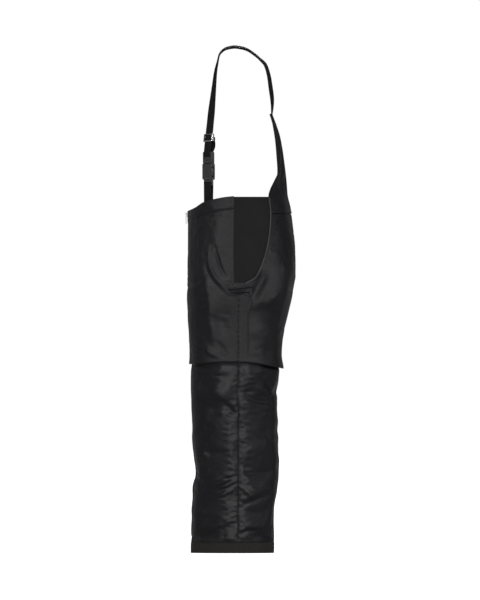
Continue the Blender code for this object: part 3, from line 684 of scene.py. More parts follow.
def waves(across, up, seed, sizes, height):
    """Soft, irregular undulation of hanging cloth: a few crossing waves with wandering phase."""
    local = np.random.default_rng(seed)
    total = np.zeros(across.shape)
    for size in sizes:
        for _ in range(3):
            angle = local.uniform(-0.7, 0.7) + math.pi / 2
            phase = local.uniform(0, 2 * math.pi)
            bend = local.uniform(0.5, 1.6)
            run = across * math.cos(angle) + up * math.sin(angle)
            side = up * math.cos(angle) - across * math.sin(angle)
            wander = bend * np.sin(side * 2 * math.pi / (size * 2.3) + phase)
            total += np.sin(run * 2 * math.pi / size + phase + wander)
    return total * height / (3 * len(sizes))


def set_points(item, grid):
    item.data.vertices.foreach_set("co", grid.astype(np.float32).ravel())
    item.data.update()


def vertex_grid(item, shape):
    """Where a mesh's points are now, in the shape of the grid that it was made from."""
    return np.array([v.co for v in item.data.vertices], float).reshape(shape)


def billow(item, pins, growth, pressure, cap, frames=16):
    """Cloth simulation: the cloth is a little larger than the frame it is pinned to, so it buckles
    and puffs out between its seams; no point moves further than cap."""
    scene = bpy.context.scene
    before = np.array([v.co for v in item.data.vertices], float)
    group = item.vertex_groups.new(name="pins")
    for weight in np.unique(np.round(pins, 1)):
        members = np.nonzero(np.round(pins, 1).ravel() == weight)[0]
        if weight > 0:
            group.add([int(i) for i in members], float(weight), "REPLACE")
    cloth = item.modifiers.new("Cloth", "CLOTH")
    fabric = dict(
        quality=5, mass=0.12, tension_stiffness=25, compression_stiffness=25, shear_stiffness=8,
        bending_stiffness=0.6, air_damping=2.0, vertex_group_mass="pins", pin_stiffness=20,
        shrink_min=-growth, use_pressure=True, uniform_pressure_force=pressure,
    )
    for key, value in fabric.items():
        setattr(cloth.settings, key, value)
    cloth.settings.effector_weights.gravity = 0.0
    cloth.collision_settings.use_collision = False
    cloth.point_cache.frame_start = 1
    cloth.point_cache.frame_end = frames
    for frame_number in range(1, frames + 1):
        scene.frame_set(frame_number)
    moved = item.evaluated_get(bpy.context.evaluated_depsgraph_get())
    after = np.array([v.co for v in moved.data.vertices], float)
    item.modifiers.remove(cloth)
    scene.frame_set(1)
    step = after - before
    length = np.linalg.norm(step, axis=1, keepdims=True)
    step *= cap * np.tanh(length / cap) / np.maximum(length, 1e-9)
    normals = np.array([v.normal for v in item.data.vertices], float)
    inward = np.minimum((step * normals).sum(1, keepdims=True) + 0.0015, 0.0)
    step -= normals * inward
    set_points(item, before + step)


def border_pins(rows, columns, soft):
    """Pin weights of a grid: full at its edges, fading over a few points."""
    r = np.arange(rows)[:, None]
    c = np.arange(columns)[None, :]
    distance = np.minimum(np.minimum(r, rows - 1 - r), np.minimum(c, columns - 1 - c))
    return np.clip(1.0 - distance / soft, 0.0, 1.0)


# --- stitching ---

stitch_store = {}


def stitch(body, line, normals, pitch=0.0042, length=0.0029, radius=0.00042):
    """Adds a row of thread stitches along a line on a surface."""
    line = np.asarray(line, float)
    steps = np.linalg.norm(np.diff(line, axis=0), axis=1)
    run = np.concatenate([[0.0], np.cumsum(steps)])
    if run[-1] < pitch:
        return
    at = np.arange(pitch / 2, run[-1] - pitch / 2, pitch)

    def sample(values, where):
        return np.stack([np.interp(where, run, values[:, k]) for k in range(3)], -1)

    middle = sample(line, at)
    ahead = sample(line, np.minimum(at + length / 2, run[-1]))
    behind = sample(line, np.maximum(at - length / 2, 0.0))
    up = sample(np.asarray(normals, float), at)
    up /= np.linalg.norm(up, axis=1, keepdims=True)
    stitch_store.setdefault(body, []).append((behind, middle, ahead, up, radius))


def make_stitching():
    """One mesh of small rounded threads for each body."""
    ring = [(math.cos(a), math.sin(a)) for a in np.linspace(0, 2 * math.pi, 6, endpoint=False)]
    for body, rows in stitch_store.items():
        points, faces = [], []
        for behind, middle, ahead, up, radius in rows:
            for a, m, b, n in zip(behind, middle, ahead, up):
                d = b - a
                size = np.linalg.norm(d)
                if size < 1e-6:
                    continue
                d /= size
                side = np.cross(d, n)
                base = len(points)
                rings = ((a, 0.35), (a + (m - a) * 0.4, 0.95), (b + (m - b) * 0.4, 0.95), (b, 0.35))
                for centre, share in rings:
                    lift = n * (radius * (0.55 if share > 0.5 else -0.1))
                    for x, y in ring:
                        points.append(centre + lift + (side * x + n * y * 0.8) * radius * share)
                for k in range(3):
                    for j in range(6):
                        i = (j + 1) % 6
                        low = base + 6 * k
                        faces.append((low + j, low + i, low + 6 + i, low + 6 + j))
                faces.append(tuple(base + j for j in reversed(range(6))))
                faces.append(tuple(base + 18 + j for j in range(6)))
        points = np.array(points)
        item = add_mesh(f"stitching_{body}", points, faces, "thread", (points[:, 0], points[:, 2]))
        settle(item, body, "shell")


def grid_stitch(grid, flip, rows=(), columns=()):
    """Stitches along rows and columns of a grid; each number is a place from 0 to 1."""
    normals = grid_normals(grid, flip=flip)
    for share in rows:
        k = int(round(share * (grid.shape[0] - 1)))
        stitch("root", grid[k], normals[k])
    for share in columns:
        k = int(round(share * (grid.shape[1] - 1)))
        stitch("root", grid[:, k], normals[:, k])


# --- shell ---

PANEL_ROWS = 110
PANEL_COLUMNS = 76
SHELL_CLOTH = 0.0015
# How much larger the cloth is, the pressure behind it, and the furthest that a point may move.
SHELL_BILLOW = (0.005, 0.7, 0.0018)
HEM_STITCH_ROW = 0.021 / 0.44
BIB_STITCH_ROW = 1 - 0.038 / 0.46
EDGE_STITCH_COLUMN = 1 - 0.006 / 0.2


def panel_surface(back, share_across, share_up):
    """Outer surface of a shell panel on its left side, as a grid over two shares from 0 to 1."""
    across, up = np.meshgrid(share_across, share_up)

    def place(z):
        section = shell_section(z)
        depth = section[3] if back else section[2]
        opening = SEAM_GAP + (0 if back else 1) * 0.0047 * ease(z, TRUNK_START, TRUNK_START + 0.008)
        start = inner_angle(section, depth, opening)
        edge = along(BACK_EDGE, z) if back else along(FRONT_EDGE, z)
        stop = outer_angle(depth, np.maximum(np.abs(edge - SEAM_Y), SEAM_GAP))
        return on_section(section, start + (stop - start) * across, 0.0, back)

    low = along(SHELL_HEM, place(np.full(across.shape, 0.54))[1])
    high = np.full(across.shape, YOKE_SEAM) if back else along(BIB_EDGE, place(np.full(across.shape, 1.0))[1])
    z = low + (high - low) * up
    x, y = place(z)
    return np.stack([x, y, z], -1)


def close_middle_seam(grid, back):
    """Turns the left panel's middle edge in and under the right one's, as in a felled seam."""
    z = grid[:, 0, 2]
    under = ease(z, CROTCH + 0.004, CROTCH + 0.02)
    if not back:
        under = under * (1 - ease(z, TRUNK_START - 0.012, TRUNK_START - 0.004))
    inward = -1 if back else 1
    grid[:, 0, 0] -= 0.0045 * under
    grid[:, 0, 1] += inward * 0.0042 * under
    grid[:, 1, 1] += inward * 0.0016 * under


def shell_panel(label, side, back):
    share_up = np.linspace(0, 1, PANEL_ROWS)
    share_across = np.linspace(0, 1, PANEL_COLUMNS)
    flat_grid = panel_surface(back, share_across, share_up)
    across, up = flat_coordinates(flat_grid)
    normals = grid_normals(flat_grid, flip=back)
    y, z = flat_grid[..., 1], flat_grid[..., 2]
    facing = np.clip(normals[..., 0], 0, 1) ** 0.5
    lift = lift_all(SHELL_FOLDS, y, z) * facing
    seed = (3 if back else 5) + (side < 0)
    lift += waves(across, up, seed, (0.16, 0.09), 0.0022) * ease(1.02 - z, 0.0, 0.12)
    fade_up = np.minimum(ease(share_up, 0, 0.05), ease(1 - share_up, 0, 0.05))
    fade_across = np.minimum(ease(share_across, 0, 0.06), ease(1 - share_across, 0, 0.05))
    lift = lift * np.minimum(fade_up[:, None], fade_across[None, :])
    hem_roll = 0.0012 * hump(up - 0.0035, 0.004) - 0.0005 * hump(up - 0.021, 0.0016)
    hem_roll += 0.0036 * ease(0.045 - up, 0.0, 0.045) * (1.1 if back else 1.0)
    lift += hem_roll
    from_top = up[-1:] - up
    if back:
        lift -= 0.0028 * ease(0.0055 - from_top, 0.0, 0.004)
    else:
        lift += -0.0024 * hump(from_top - 0.0385, 0.0017) + 0.0012 * ease(0.037 - from_top, 0.0, 0.005)
    name = f"{'back' if back else 'front'}_panel_{label}"
    flip = (side < 0) != back
    grid = mirrored(flat_grid, side)
    item = add_mesh(f"{name}_cloth", grid, grid_faces(*grid.shape[:2], flip=flip), "shell", (across, up))
    billow(item, border_pins(*grid.shape[:2], soft=4), *SHELL_BILLOW)
    final = vertex_grid(item, grid.shape)
    final += mirrored(normals, side) * lift[..., None]
    final[..., 0] = side * np.maximum(side * final[..., 0], SEAM_GAP)
    if side > 0:
        close_middle_seam(final, back)
    set_points(item, final)
    thicken(item, SHELL_CLOTH)
    settle(item, "root", "shell", name)
    declare_sheet(item, flat_grid, "hung")
    if back:
        grid_stitch(final, flip, rows=(HEM_STITCH_ROW,))
    else:
        grid_stitch(final, flip, rows=(HEM_STITCH_ROW, BIB_STITCH_ROW), columns=(EDGE_STITCH_COLUMN,))


def side_strip(heights, low_y, high_y, inset, columns):
    """A grid on the garment's side between two edges, each a place or places at the heights given."""
    z = np.asarray(heights, float)[:, None]
    share = np.linspace(0, 1, columns)[None, :]
    y = low_y + 0 * z + (high_y - low_y) * share
    return side_point(np.broadcast_to(z, y.shape), y, inset)


def side_gusset(label, side):
    heights = np.linspace(0.763, GUSSET_TOP, 60)
    grid = side_strip(heights, -0.026, along(BACK_EDGE, heights)[:, None] + 0.006, 0.0023, 40)
    across, up = flat_coordinates(grid)
    y, z = grid[..., 1], grid[..., 2]
    lift = -0.0022 * hump(y - (0.03 + (z - 0.8) * 0.25), 0.016) * ease(z, 0.79, 0.84) * ease(1.0 - z, 0, 0.05)
    lift += waves(across, up, 21 + (side < 0), (0.11,), 0.0012)
    from_top = GUSSET_TOP - z
    lift += 0.0006 * ease(0.01 - from_top, 0.0, 0.002) - 0.0004 * hump(from_top - 0.0105, 0.001)
    final = mirrored(grid + grid_normals(grid) * (lift - 0.0004)[..., None], side)
    item = cloth_piece(f"side_gusset_{label}", side, final, (across, up), "stretch", 0.0012)
    declare_sheet(item, grid, "stretched")


def gusset_binding(label, side):
    """Folded binding along the gusset's back edge: a flattened roll with a slight waver."""
    z = np.concatenate([np.linspace(0.756, 0.8, 40), np.linspace(0.804, 1.0125, 60)])
    edge = along(BACK_EDGE, z)
    angles = np.linspace(0, 2 * math.pi, 14, endpoint=False)
    swell = 1.0 + 0.1 * np.sin(z * 190) + 0.06 * np.sin(z * 431)
    slope = np.gradient(edge, z)
    lean = np.stack([1 / np.hypot(1, slope), -slope / np.hypot(1, slope)], -1)
    reach = 0.0034 * np.cos(angles)[None, :] * swell[:, None]
    y = edge[:, None] + 0.0004 + reach * lean[:, :1]
    height = z[:, None] + reach * lean[:, 1:]
    surface = side_point(height, y, 0.0)
    beside = [side_point(z, edge + shift, 0.0) for shift in (-0.002, 0.002)]
    normal = grid_normals(np.stack(beside, 1))[:, :1]
    rise = 0.0004 + 0.0018 * np.sin(angles)[None, :] * swell[:, None]
    points = mirrored(surface + normal * rise[..., None], side)
    faces = tube_faces(len(z), len(angles), side > 0, side < 0)
    run = run_length(points[:, 0])
    item = add_mesh(f"gusset_binding_{label}_cloth", points, faces, "piping",
                    (reach * np.ones_like(y), np.broadcast_to(run[:, None], y.shape)))
    settle(item, "root", "piping", f"gusset_binding_{label}")


def side_tab(label, side):
    """The tab at the gusset's foot, with its pleat and crumples."""
    heights = np.linspace(0.7305, 0.7685, 22)
    grid = side_strip(heights, -0.0375, 0.0315, -0.0022, 44)
    across, up = flat_coordinates(grid)
    width, height = across.max() * 2, up.max()
    edge = np.minimum(np.minimum(across + width / 2, width / 2 - across), np.minimum(up, height - up))
    lift = 0.001 * ease(edge, 0.0, 0.004) - 0.0009 * hump(edge - 0.0065, 0.0014)
    slot = hump(up - 0.0075 - 0.001 * np.sin(across * 150), 0.0017)
    slot = slot * ease(0.024 - np.abs(across + 0.006), 0, 0.006)
    pleat = 0.0024 * hump(up - 0.0125, 0.0028) * ease(0.026 - np.abs(across - 0.004), 0, 0.012)
    lift += -0.0034 * slot + pleat
    crease = 0.0022 * hump(up - 0.0235 - 0.1 * across, 0.0024)
    lift += crease - 0.0022 * hump(up - 0.0185 - 0.16 * across, 0.002)
    lift += 0.0006 * np.sin(across * 420 + up * 260) * ease(0.5 * width - np.abs(across), 0.0, 0.012)
    final = mirrored(grid + grid_normals(grid) * lift[..., None], side)
    item = cloth_piece(f"side_tab_{label}", side, final, (across, up), "shell", 0.0018)
    declare_sheet(item, grid, "laid", rests_on=[f"front_panel_{label}_cloth"])
    grid_stitch(final, side < 0, columns=(0.09, 0.91))


def side_placket(label, side):
    """The narrow flap over the outseam, below the tab."""
    heights = np.linspace(0.5475, 0.7345, 90)
    back_edge = 0.0228 + 0.01 * hump(heights - 0.712, 0.018)[:, None]
    grid = side_strip(heights, -0.012, back_edge, -0.0016, 20)
    across, up = flat_coordinates(grid)
    share = np.linspace(0, 1, 20)[None, :] * np.ones_like(across)
    ruffle = np.sin(up * 2 * math.pi / 0.013 + 2.0 * np.sin(up * 60)) * 0.0004 * ease(0.45 - share, 0, 0.45)
    lift = ruffle + 0.002 * (1 - share) + 0.0015 * hump(share - 0.93, 0.07)
    lift = lift + 0.0008 * hump(share - 0.05, 0.06) - 0.0006 * hump(share - 0.2, 0.05)
    final = mirrored(grid + grid_normals(grid) * lift[..., None], side)
    item = cloth_piece(f"side_placket_{label}", side, final, (across, up), "shell", 0.0014)
    declare_sheet(item, grid, "laid", rests_on=[f"back_panel_{label}_cloth"])
    grid_stitch(final, side < 0, columns=(0.2, 0.84))


def bib_facing(label, side):
    section = shell_section(np.array(0.98))
    start = math.acos(-0.0165 / float(section[1]))
    stop = float(outer_angle(section[2], 0.0225))
    angle = np.linspace(start, stop, 50)[None, :]
    y_top = on_section(section, angle, 0.0, False)[1]
    share = np.linspace(0, 1, 16)[:, None]
    z = along(BIB_EDGE, y_top) - 0.0006 - 0.039 * (1 - share)
    x, y = on_section(shell_section(z), angle * np.ones_like(z), 0.0023, False)
    grid = np.stack([x, y, z], -1)
    across, up = flat_coordinates(grid)
    final = mirrored(grid + grid_normals(grid) * waves(across, up, 31, (0.05,), 0.0004)[..., None], side)
    item = cloth_piece(f"bib_facing_{label}", side, final, (across, up), "lining", 0.001)
    declare_sheet(item, grid, "laid", rests_on=[f"front_panel_{label}_cloth"])


# --- legs ---

LEG_ROWS = 150
LEG_COLUMNS = 84
LEG_TOP = 0.6
LEG_CLOTH = 0.0014
LEG_BILLOW = (0.009, 1.6, 0.0028)


def leg_grid(back, rows, columns, low, high, inset, first=0.0, last=1.0, exponent=2.0):
    z = np.linspace(low, high, rows)[:, None] * np.ones((1, columns))
    section = (*leg_section(z)[:5], exponent)
    depth = section[3] if back else section[2]
    start = np.arcsin(SEAM_GAP / depth)
    share = first + (last - first) * np.linspace(0, 1, columns)[None, :]
    x, y = on_section(section, start + (math.pi - 2 * start) * share, inset, back, exponent)
    return np.stack([x, y, z], -1)


def leg_reach(z):
    """How far the outseam's puckers reach at each height."""
    return 0.011 + 0.008 * float(hump(z - 0.45, 0.05)) + 0.01 * float(hump(z - 0.12, 0.09))


def zigzag(at, seed, period, height):
    """A jagged line of uneven teeth around zero."""
    local = np.random.default_rng(seed)
    places = np.cumsum(local.uniform(0.35, 1.0, 200)) * period
    values = local.uniform(0.4, 1.0, 200) * height
    values[::2] *= -1
    return np.interp(at, places, values)


SEAM_FLAT_FRONT = (
    (0.000, 0.04), (0.036, 0.038), (0.055, 0.026), (0.07, 0.033), (0.112, 0.025), (0.15, 0.038),
    (0.178, 0.037), (0.205, 0.03), (0.235, 0.015), (0.278, 0.022), (0.349, 0.027), (0.375, 0.02),
    (0.405, 0.01), (0.425, 0.026), (0.44, 0.048), (0.457, 0.06), (0.48, 0.052), (0.6, 0.048),
)
SEAM_FLAT_BACK = (
    (0.000, 0.028), (0.07, 0.028), (0.112, 0.016), (0.14, 0.028), (0.178, 0.045), (0.205, 0.032),
    (0.235, 0.013), (0.278, 0.026), (0.349, 0.021), (0.405, 0.011), (0.44, 0.017), (0.475, 0.02),
    (0.49, 0.034), (0.525, 0.027), (0.6, 0.027),
)


def seam_turn(y, z, back, seed=None):
    """How far a leg's side turns inward beyond the flat strip beside its seam.
    With a seed the strip's edge is jagged, where the seam's gathers end."""
    reach = along(SEAM_FLAT_BACK if back else SEAM_FLAT_FRONT, z)
    distance = np.abs(y - SEAM_Y)
    smooth = np.clip(distance - reach, 0.0, 0.06)
    if seed is None:
        return 0.22 * smooth
    jag = zigzag(z, seed + 100, 0.014, 0.0065) + zigzag(z, seed + 200, 0.006, 0.002)
    jagged = np.clip(distance - np.maximum(reach + jag, 0.002), 0.0, 0.06)
    share = ease(distance - reach, 0.006, 0.024)
    return 0.22 * (jagged + (smooth - jagged) * share) * ease(z, HEM_TOP, HEM_TOP + 0.022)


def sideways(normals):
    """How far a surface faces sideways, softened: 1 outward, -1 toward the other leg."""
    return np.sign(normals[..., 0]) * np.abs(normals[..., 0]) ** 0.5


def leg_half(label, side, back):
    extent = (back, LEG_ROWS, LEG_COLUMNS, HEM_TOP + 0.0006, LEG_TOP, 0.0)
    grid = leg_grid(*extent)
    full = leg_grid(*extent, exponent=3.0)
    grid += (full - grid) * ease(grid[..., 2:], HEM_TOP, HEM_TOP + 0.05)
    across, up = flat_coordinates(grid)
    normals = grid_normals(grid, flip=back)
    y, z = grid[..., 1], grid[..., 2]
    outward = normals[..., 0]
    outer = np.clip(outward, 0, 1) ** 0.4
    inner = np.clip(-outward, 0, 1) ** 0.4
    toward = 1 if back else -1
    puckers = seam_puckers(toward, 30, 0.036, 0.53, leg_reach, 0.001)
    inner_puckers = seam_puckers(toward, 40, 0.036, 0.53, leg_reach, 0.0012)
    lift = (lift_all(LEG_FOLDS, y, z) + lift_all(puckers, y, z)) * outer
    lift += (lift_all(inner_puckers, y, z) + 0.5 * lift_all(LEG_FOLDS, y, z)) * inner
    seed = 41 + 2 * back + (side < 0)
    lift += waves(across, up, seed, (0.11, 0.055), 0.0023)
    from_seam = np.minimum(across - across[:, :1], across[:, -1:] - across)
    lift += 0.0011 * ease(from_seam, 0.0, 0.003) - 0.0008
    lift -= 0.0066 * ease(z, 0.516, 0.542)
    lift = np.maximum(lift, -0.0074)
    lift *= np.minimum(ease(z, HEM_TOP, HEM_TOP + 0.012), ease(LEG_TOP - z, 0.055, 0.075))
    name = f"leg_{'back' if back else 'front'}_{label}"
    flip = (side < 0) != back
    faces = grid_faces(*grid.shape[:2], flip=flip)
    item = add_mesh(f"{name}_cloth", mirrored(grid, side), faces, "leg", (across, up))
    billow(item, border_pins(*grid.shape[:2], soft=2), *LEG_BILLOW)
    final = vertex_grid(item, grid.shape)
    final += mirrored(normals, side) * lift[..., None]
    final[..., 0] -= side * sideways(normals) * seam_turn(y, z, back, seed)
    set_points(item, final)
    thicken(item, LEG_CLOTH)
    settle(item, "root", "leg", name)
    declare_sheet(item, grid, "hung")
    if back:
        grid_stitch(final, flip, columns=(1 - 0.004 / 0.25,))


def ring_grid(rows_z, columns, inset):
    """A leg's whole tube at given heights."""
    z = np.asarray(rows_z, float)[:, None] * np.ones((1, columns))
    angle = np.linspace(0, 2 * math.pi, columns, endpoint=False)[None, :] * np.ones_like(z)
    section = leg_section(z)
    depth = np.where(np.sin(angle) > 0, section[2], section[3]) - inset
    x = section[0] - (section[1] - inset) * np.cos(angle)
    return np.stack([x, SEAM_Y - depth * np.sin(angle), z], -1)


def leg_inside(label, side):
    """The cut pad at the front of the leg, and the lining inside it."""
    grid = leg_grid(False, 120, 60, 0.04, 0.7, 0.0095, 1 / 12, 11 / 12)
    across, up = flat_coordinates(grid)
    normals = grid_normals(grid)
    quilt = np.maximum(hump((up % 0.16) - 0.08, 0.006), hump((across + 0.6) % 0.09 - 0.045, 0.006))
    final = grid - normals * (0.0008 + 0.0012 * quilt)[..., None]
    final[..., 0] -= sideways(normals) * seam_turn(grid[..., 1], grid[..., 2], False)
    faces = grid_faces(*grid.shape[:2], flip=side < 0)
    item = add_mesh(f"cut_pad_{label}_fibre", mirrored(final, side), faces, "pad", (across, up))
    thicken(item, 0.003, levels=0)
    settle(item, "root", "pad", f"cut_pad_{label}")

    heights = np.linspace(0.028, 0.7, 120)
    inset = 0.0046 + 0.0092 * ease(heights, 0.034, 0.07)[:, None]
    grid = ring_grid(heights, 110, inset)
    across, up = flat_coordinates(grid)
    normals = grid_normals(grid)
    creased = np.minimum(waves(across, up, 61, (0.12, 0.06), 0.0016), 0.0004) * ease(grid[..., 2], 0.04, 0.08)
    final = grid + normals * creased[..., None]
    y, z = grid[..., 1], grid[..., 2]
    turned = np.where(y > SEAM_Y, seam_turn(y, z, True), seam_turn(y, z, False))
    final[..., 0] -= sideways(normals) * turned * ease(z, 0.03, 0.07)
    item = cloth_piece(f"leg_lining_{label}", side, mirrored(final, side), (across, up), "lining", 0.0008,
                       closed=True, levels=0)
    declare_sheet(item, np.concatenate([grid, grid[:, :1]], 1), "hung")


def hem_band(label, side):
    """Binding folded round the leg's foot: a rounded band with a slight roll at its foot."""
    columns = 220
    profile = ((0.0000, 0.0012), (0.0006, 0.0002), (0.003, 0.0), (0.015, 0.0), (0.027, 0.0),
               (0.0295, 0.0004), (0.0306, 0.0016), (0.0306, 0.0024), (0.029, 0.0034), (0.015, 0.0036),
               (0.002, 0.0034), (0.0000, 0.0024))
    grid = np.array([ring_grid([z], columns, inset)[0] for z, inset in profile])
    angle = np.linspace(0, 2 * math.pi, columns, endpoint=False)
    on_face = np.array([z > 0.01 and inset < 0.001 for z, inset in profile])[:, None]
    pucker = 0.0005 * np.sin(angle * 46 + 2 * np.sin(angle * 7)) * on_face
    outward = grid - np.array([LEG_CENTRE, SEAM_Y, 0.0])
    outward[..., 2] = 0
    outward /= np.linalg.norm(outward, axis=-1, keepdims=True)
    grid = grid + outward * pucker[..., None]
    run = np.concatenate([[0.0], np.cumsum(np.linalg.norm(np.diff(grid, axis=1), axis=-1)[3])])
    depth = np.cumsum([0.0] + [math.dist(a, b) for a, b in zip(profile[:-1], profile[1:])])
    faces = grid_faces(len(profile) + 1, columns, flip=side < 0, closed=True) % (len(profile) * columns)
    item = add_mesh(f"hem_band_{label}_cloth", mirrored(grid, side), faces, "hem",
                    (np.broadcast_to(run, grid.shape[:2]), np.broadcast_to(depth[:, None], grid.shape[:2])))
    settle(item, "root", "hem", f"hem_band_{label}")
    normal = mirrored(outward[3], side)
    row = mirrored(ring_grid([0.0262], columns, -0.0001)[0], side)
    stitch("root", np.concatenate([row, row[:1]]), np.concatenate([normal, normal[:1]]))


# --- braces ---

def brace_base(label, side):
    """The yoke half and the cloth brace that rise from the back panel and narrow to the webbing."""
    outer = (
        (0.969, 0.0855), (0.99, 0.083), (1.016, 0.079), (1.033, 0.083), (1.062, 0.097),
        (1.08, 0.1045), (1.136, 0.102), (1.176, 0.0985), (1.2155, 0.0925), (1.248, 0.086),
    )
    inner = (
        (0.969, 0.1427), (1.023, 0.134), (1.096, 0.1254), (1.156, 0.1169), (1.196, 0.108),
        (1.248, 0.089),
    )
    outer_x = ((1.016, 0.145), (1.033, 0.14), (1.062, 0.125), (1.08, 0.115), (1.248, 0.115))
    inner_x = ((0.969, 0.0004), (0.99, 0.014), (1.016, 0.038), (1.062, 0.06), (1.248, 0.068))
    heights = np.concatenate([np.linspace(0.9662, 1.09, 60), np.linspace(1.092, 1.2495, 60)])
    z = heights[:, None] * np.ones((1, 36))
    share = np.linspace(0, 1, 36)[None, :] * np.ones_like(z)
    section = shell_section(z)
    low = np.arccos(np.maximum(-along(inner_x, z) / section[1], -1.0))
    high = outer_angle(section[3], along(outer, z) - SEAM_Y)
    body = np.stack(on_section(section, low + (high - low) * share, 0.0, True), -1)
    start = np.stack([along(inner_x, z), along(inner, z)], -1)
    stop = np.stack([along(outer_x, z), along(outer, z)], -1)
    straight = start + (stop - start) * share[..., None]
    at = body + (straight - body) * ease(z, YOKE_SEAM + 0.01, 1.062)[..., None]
    grid = np.concatenate([at, z[..., None]], -1)
    across, up = flat_coordinates(grid)
    normals = grid_normals(grid, flip=True)
    edge = np.minimum(across - across[:, :1], across[:, -1:] - across)
    lift = 0.0008 * ease(edge, 0.0, 0.002) - 0.0008 * hump(edge - 0.0062, 0.0013)
    lift += 0.0008 * ease(0.007 - up, 0, 0.003)
    creases = np.sin(across * 2 * math.pi / 0.034 + 2.4 * np.sin(up * 31 + side)) * 0.0014
    creases += np.sin(across * 2 * math.pi / 0.017 + 3.1 * np.sin(up * 47)) * 0.0005
    lift += creases * ease(z, 0.985, 1.06) * ease(edge, 0.003, 0.012)
    lift += -0.0035 * hump(share - 0.5, 0.2) * hump(z - 1.246, 0.03)
    final = grid + normals * lift[..., None]
    final[..., 0] = np.maximum(final[..., 0], SEAM_GAP)
    final = mirrored(final, side)
    item = cloth_piece(f"brace_base_{label}", side, final, (across, up), "shell", 0.0024, flip=side > 0)
    declare_sheet(item, grid, "hung")
    grid_stitch(final, side > 0, columns=(0.1, 0.9))
    grid_stitch(final, side > 0, rows=(3 / 119,))


WEBBING_WIDTH = 0.048
WEBBING_THICKNESS = 0.0016
STRAP_TURN_DEG = 24.0
STRAP_TURN = math.radians(STRAP_TURN_DEG)
ANCHOR_TURN_DEG = 28.0
BUCKLE_AT = np.array((0.12, -0.0925, 1.108))
STRAP_LEAN = np.array((-0.07, 0.101, 1.0)) / np.linalg.norm((-0.07, 0.101, 1.0))
BAR_REACH = 0.0037
MALE_BAR_UP = 0.0295
FEMALE_BAR_UP = -0.061
RUN_START = 0.0045
TRIGLIDE_LIFT = 0.0395
SHOULDER_LINE = (
    (0.0915, 0.088, 1.244, -2), (0.0925, 0.09, 1.27, -8), (0.0932, 0.0893, 1.295, -12),
    (0.094, 0.0855, 1.3238, -13), (0.0955, 0.0798, 1.361, -11), (0.0965, 0.0698, 1.3922, -8),
    (0.097, 0.054, 1.409, -2), (0.0975, 0.037, 1.4236, -1), (0.098, 0.0142, 1.4378, 0),
    (0.0985, -0.014, 1.444, 0), (0.099, -0.0342, 1.442, 0), (0.0995, -0.0485, 1.4364, 0),
    (0.1, -0.061, 1.423, 1), (0.101, -0.067, 1.4008, 4), (0.103, -0.073, 1.37, 9),
    (0.106, -0.0772, 1.3267, 14),
)


def buckle_point(out, up):
    """World place on the left buckle's middle line: out of its face, and up."""
    return BUCKLE_AT + np.array((out * math.sin(STRAP_TURN), -out * math.cos(STRAP_TURN), up))


def strap_run(lift, out=BAR_REACH):
    return buckle_point(out, MALE_BAR_UP + RUN_START) + STRAP_LEAN * lift


def bar_wrap(bar_up, rise, steps=16):
    """Stations round a buckle's squarish bar, from its face to its back."""
    stations = []
    for k in range(steps + 1):
        angle = math.pi * k / steps
        out = BAR_REACH * math.copysign(math.sqrt(abs(math.cos(angle))), math.cos(angle))
        stations.append((*buckle_point(out, bar_up + rise * math.sqrt(math.sin(angle))), STRAP_TURN_DEG))
    return stations


def smooth_stations(stations, spacing):
    """A Catmull-Rom line through the stations, resampled at an even spacing."""
    points = np.array(stations, float)
    padded = np.vstack([2 * points[0] - points[1], points, 2 * points[-1] - points[-2]])
    dense = []
    for k in range(1, len(padded) - 2):
        p0, p1, p2, p3 = padded[k - 1:k + 3]
        length = np.linalg.norm(p2[:3] - p1[:3])
        for t in np.linspace(0, 1, max(2, int(length / 0.0006)), endpoint=False):
            dense.append(0.5 * (2 * p1 + (p2 - p0) * t + (2 * p0 - 5 * p1 + 4 * p2 - p3) * t ** 2
                                + (3 * p1 - p0 - 3 * p2 + p3) * t ** 3))
    dense.append(points[-1])
    dense = np.array(dense)
    run = run_length(dense[:, :3])
    at = np.linspace(0, run[-1], max(4, int(run[-1] / spacing)))
    return np.stack([np.interp(at, run, dense[:, k]) for k in range(4)], -1), at


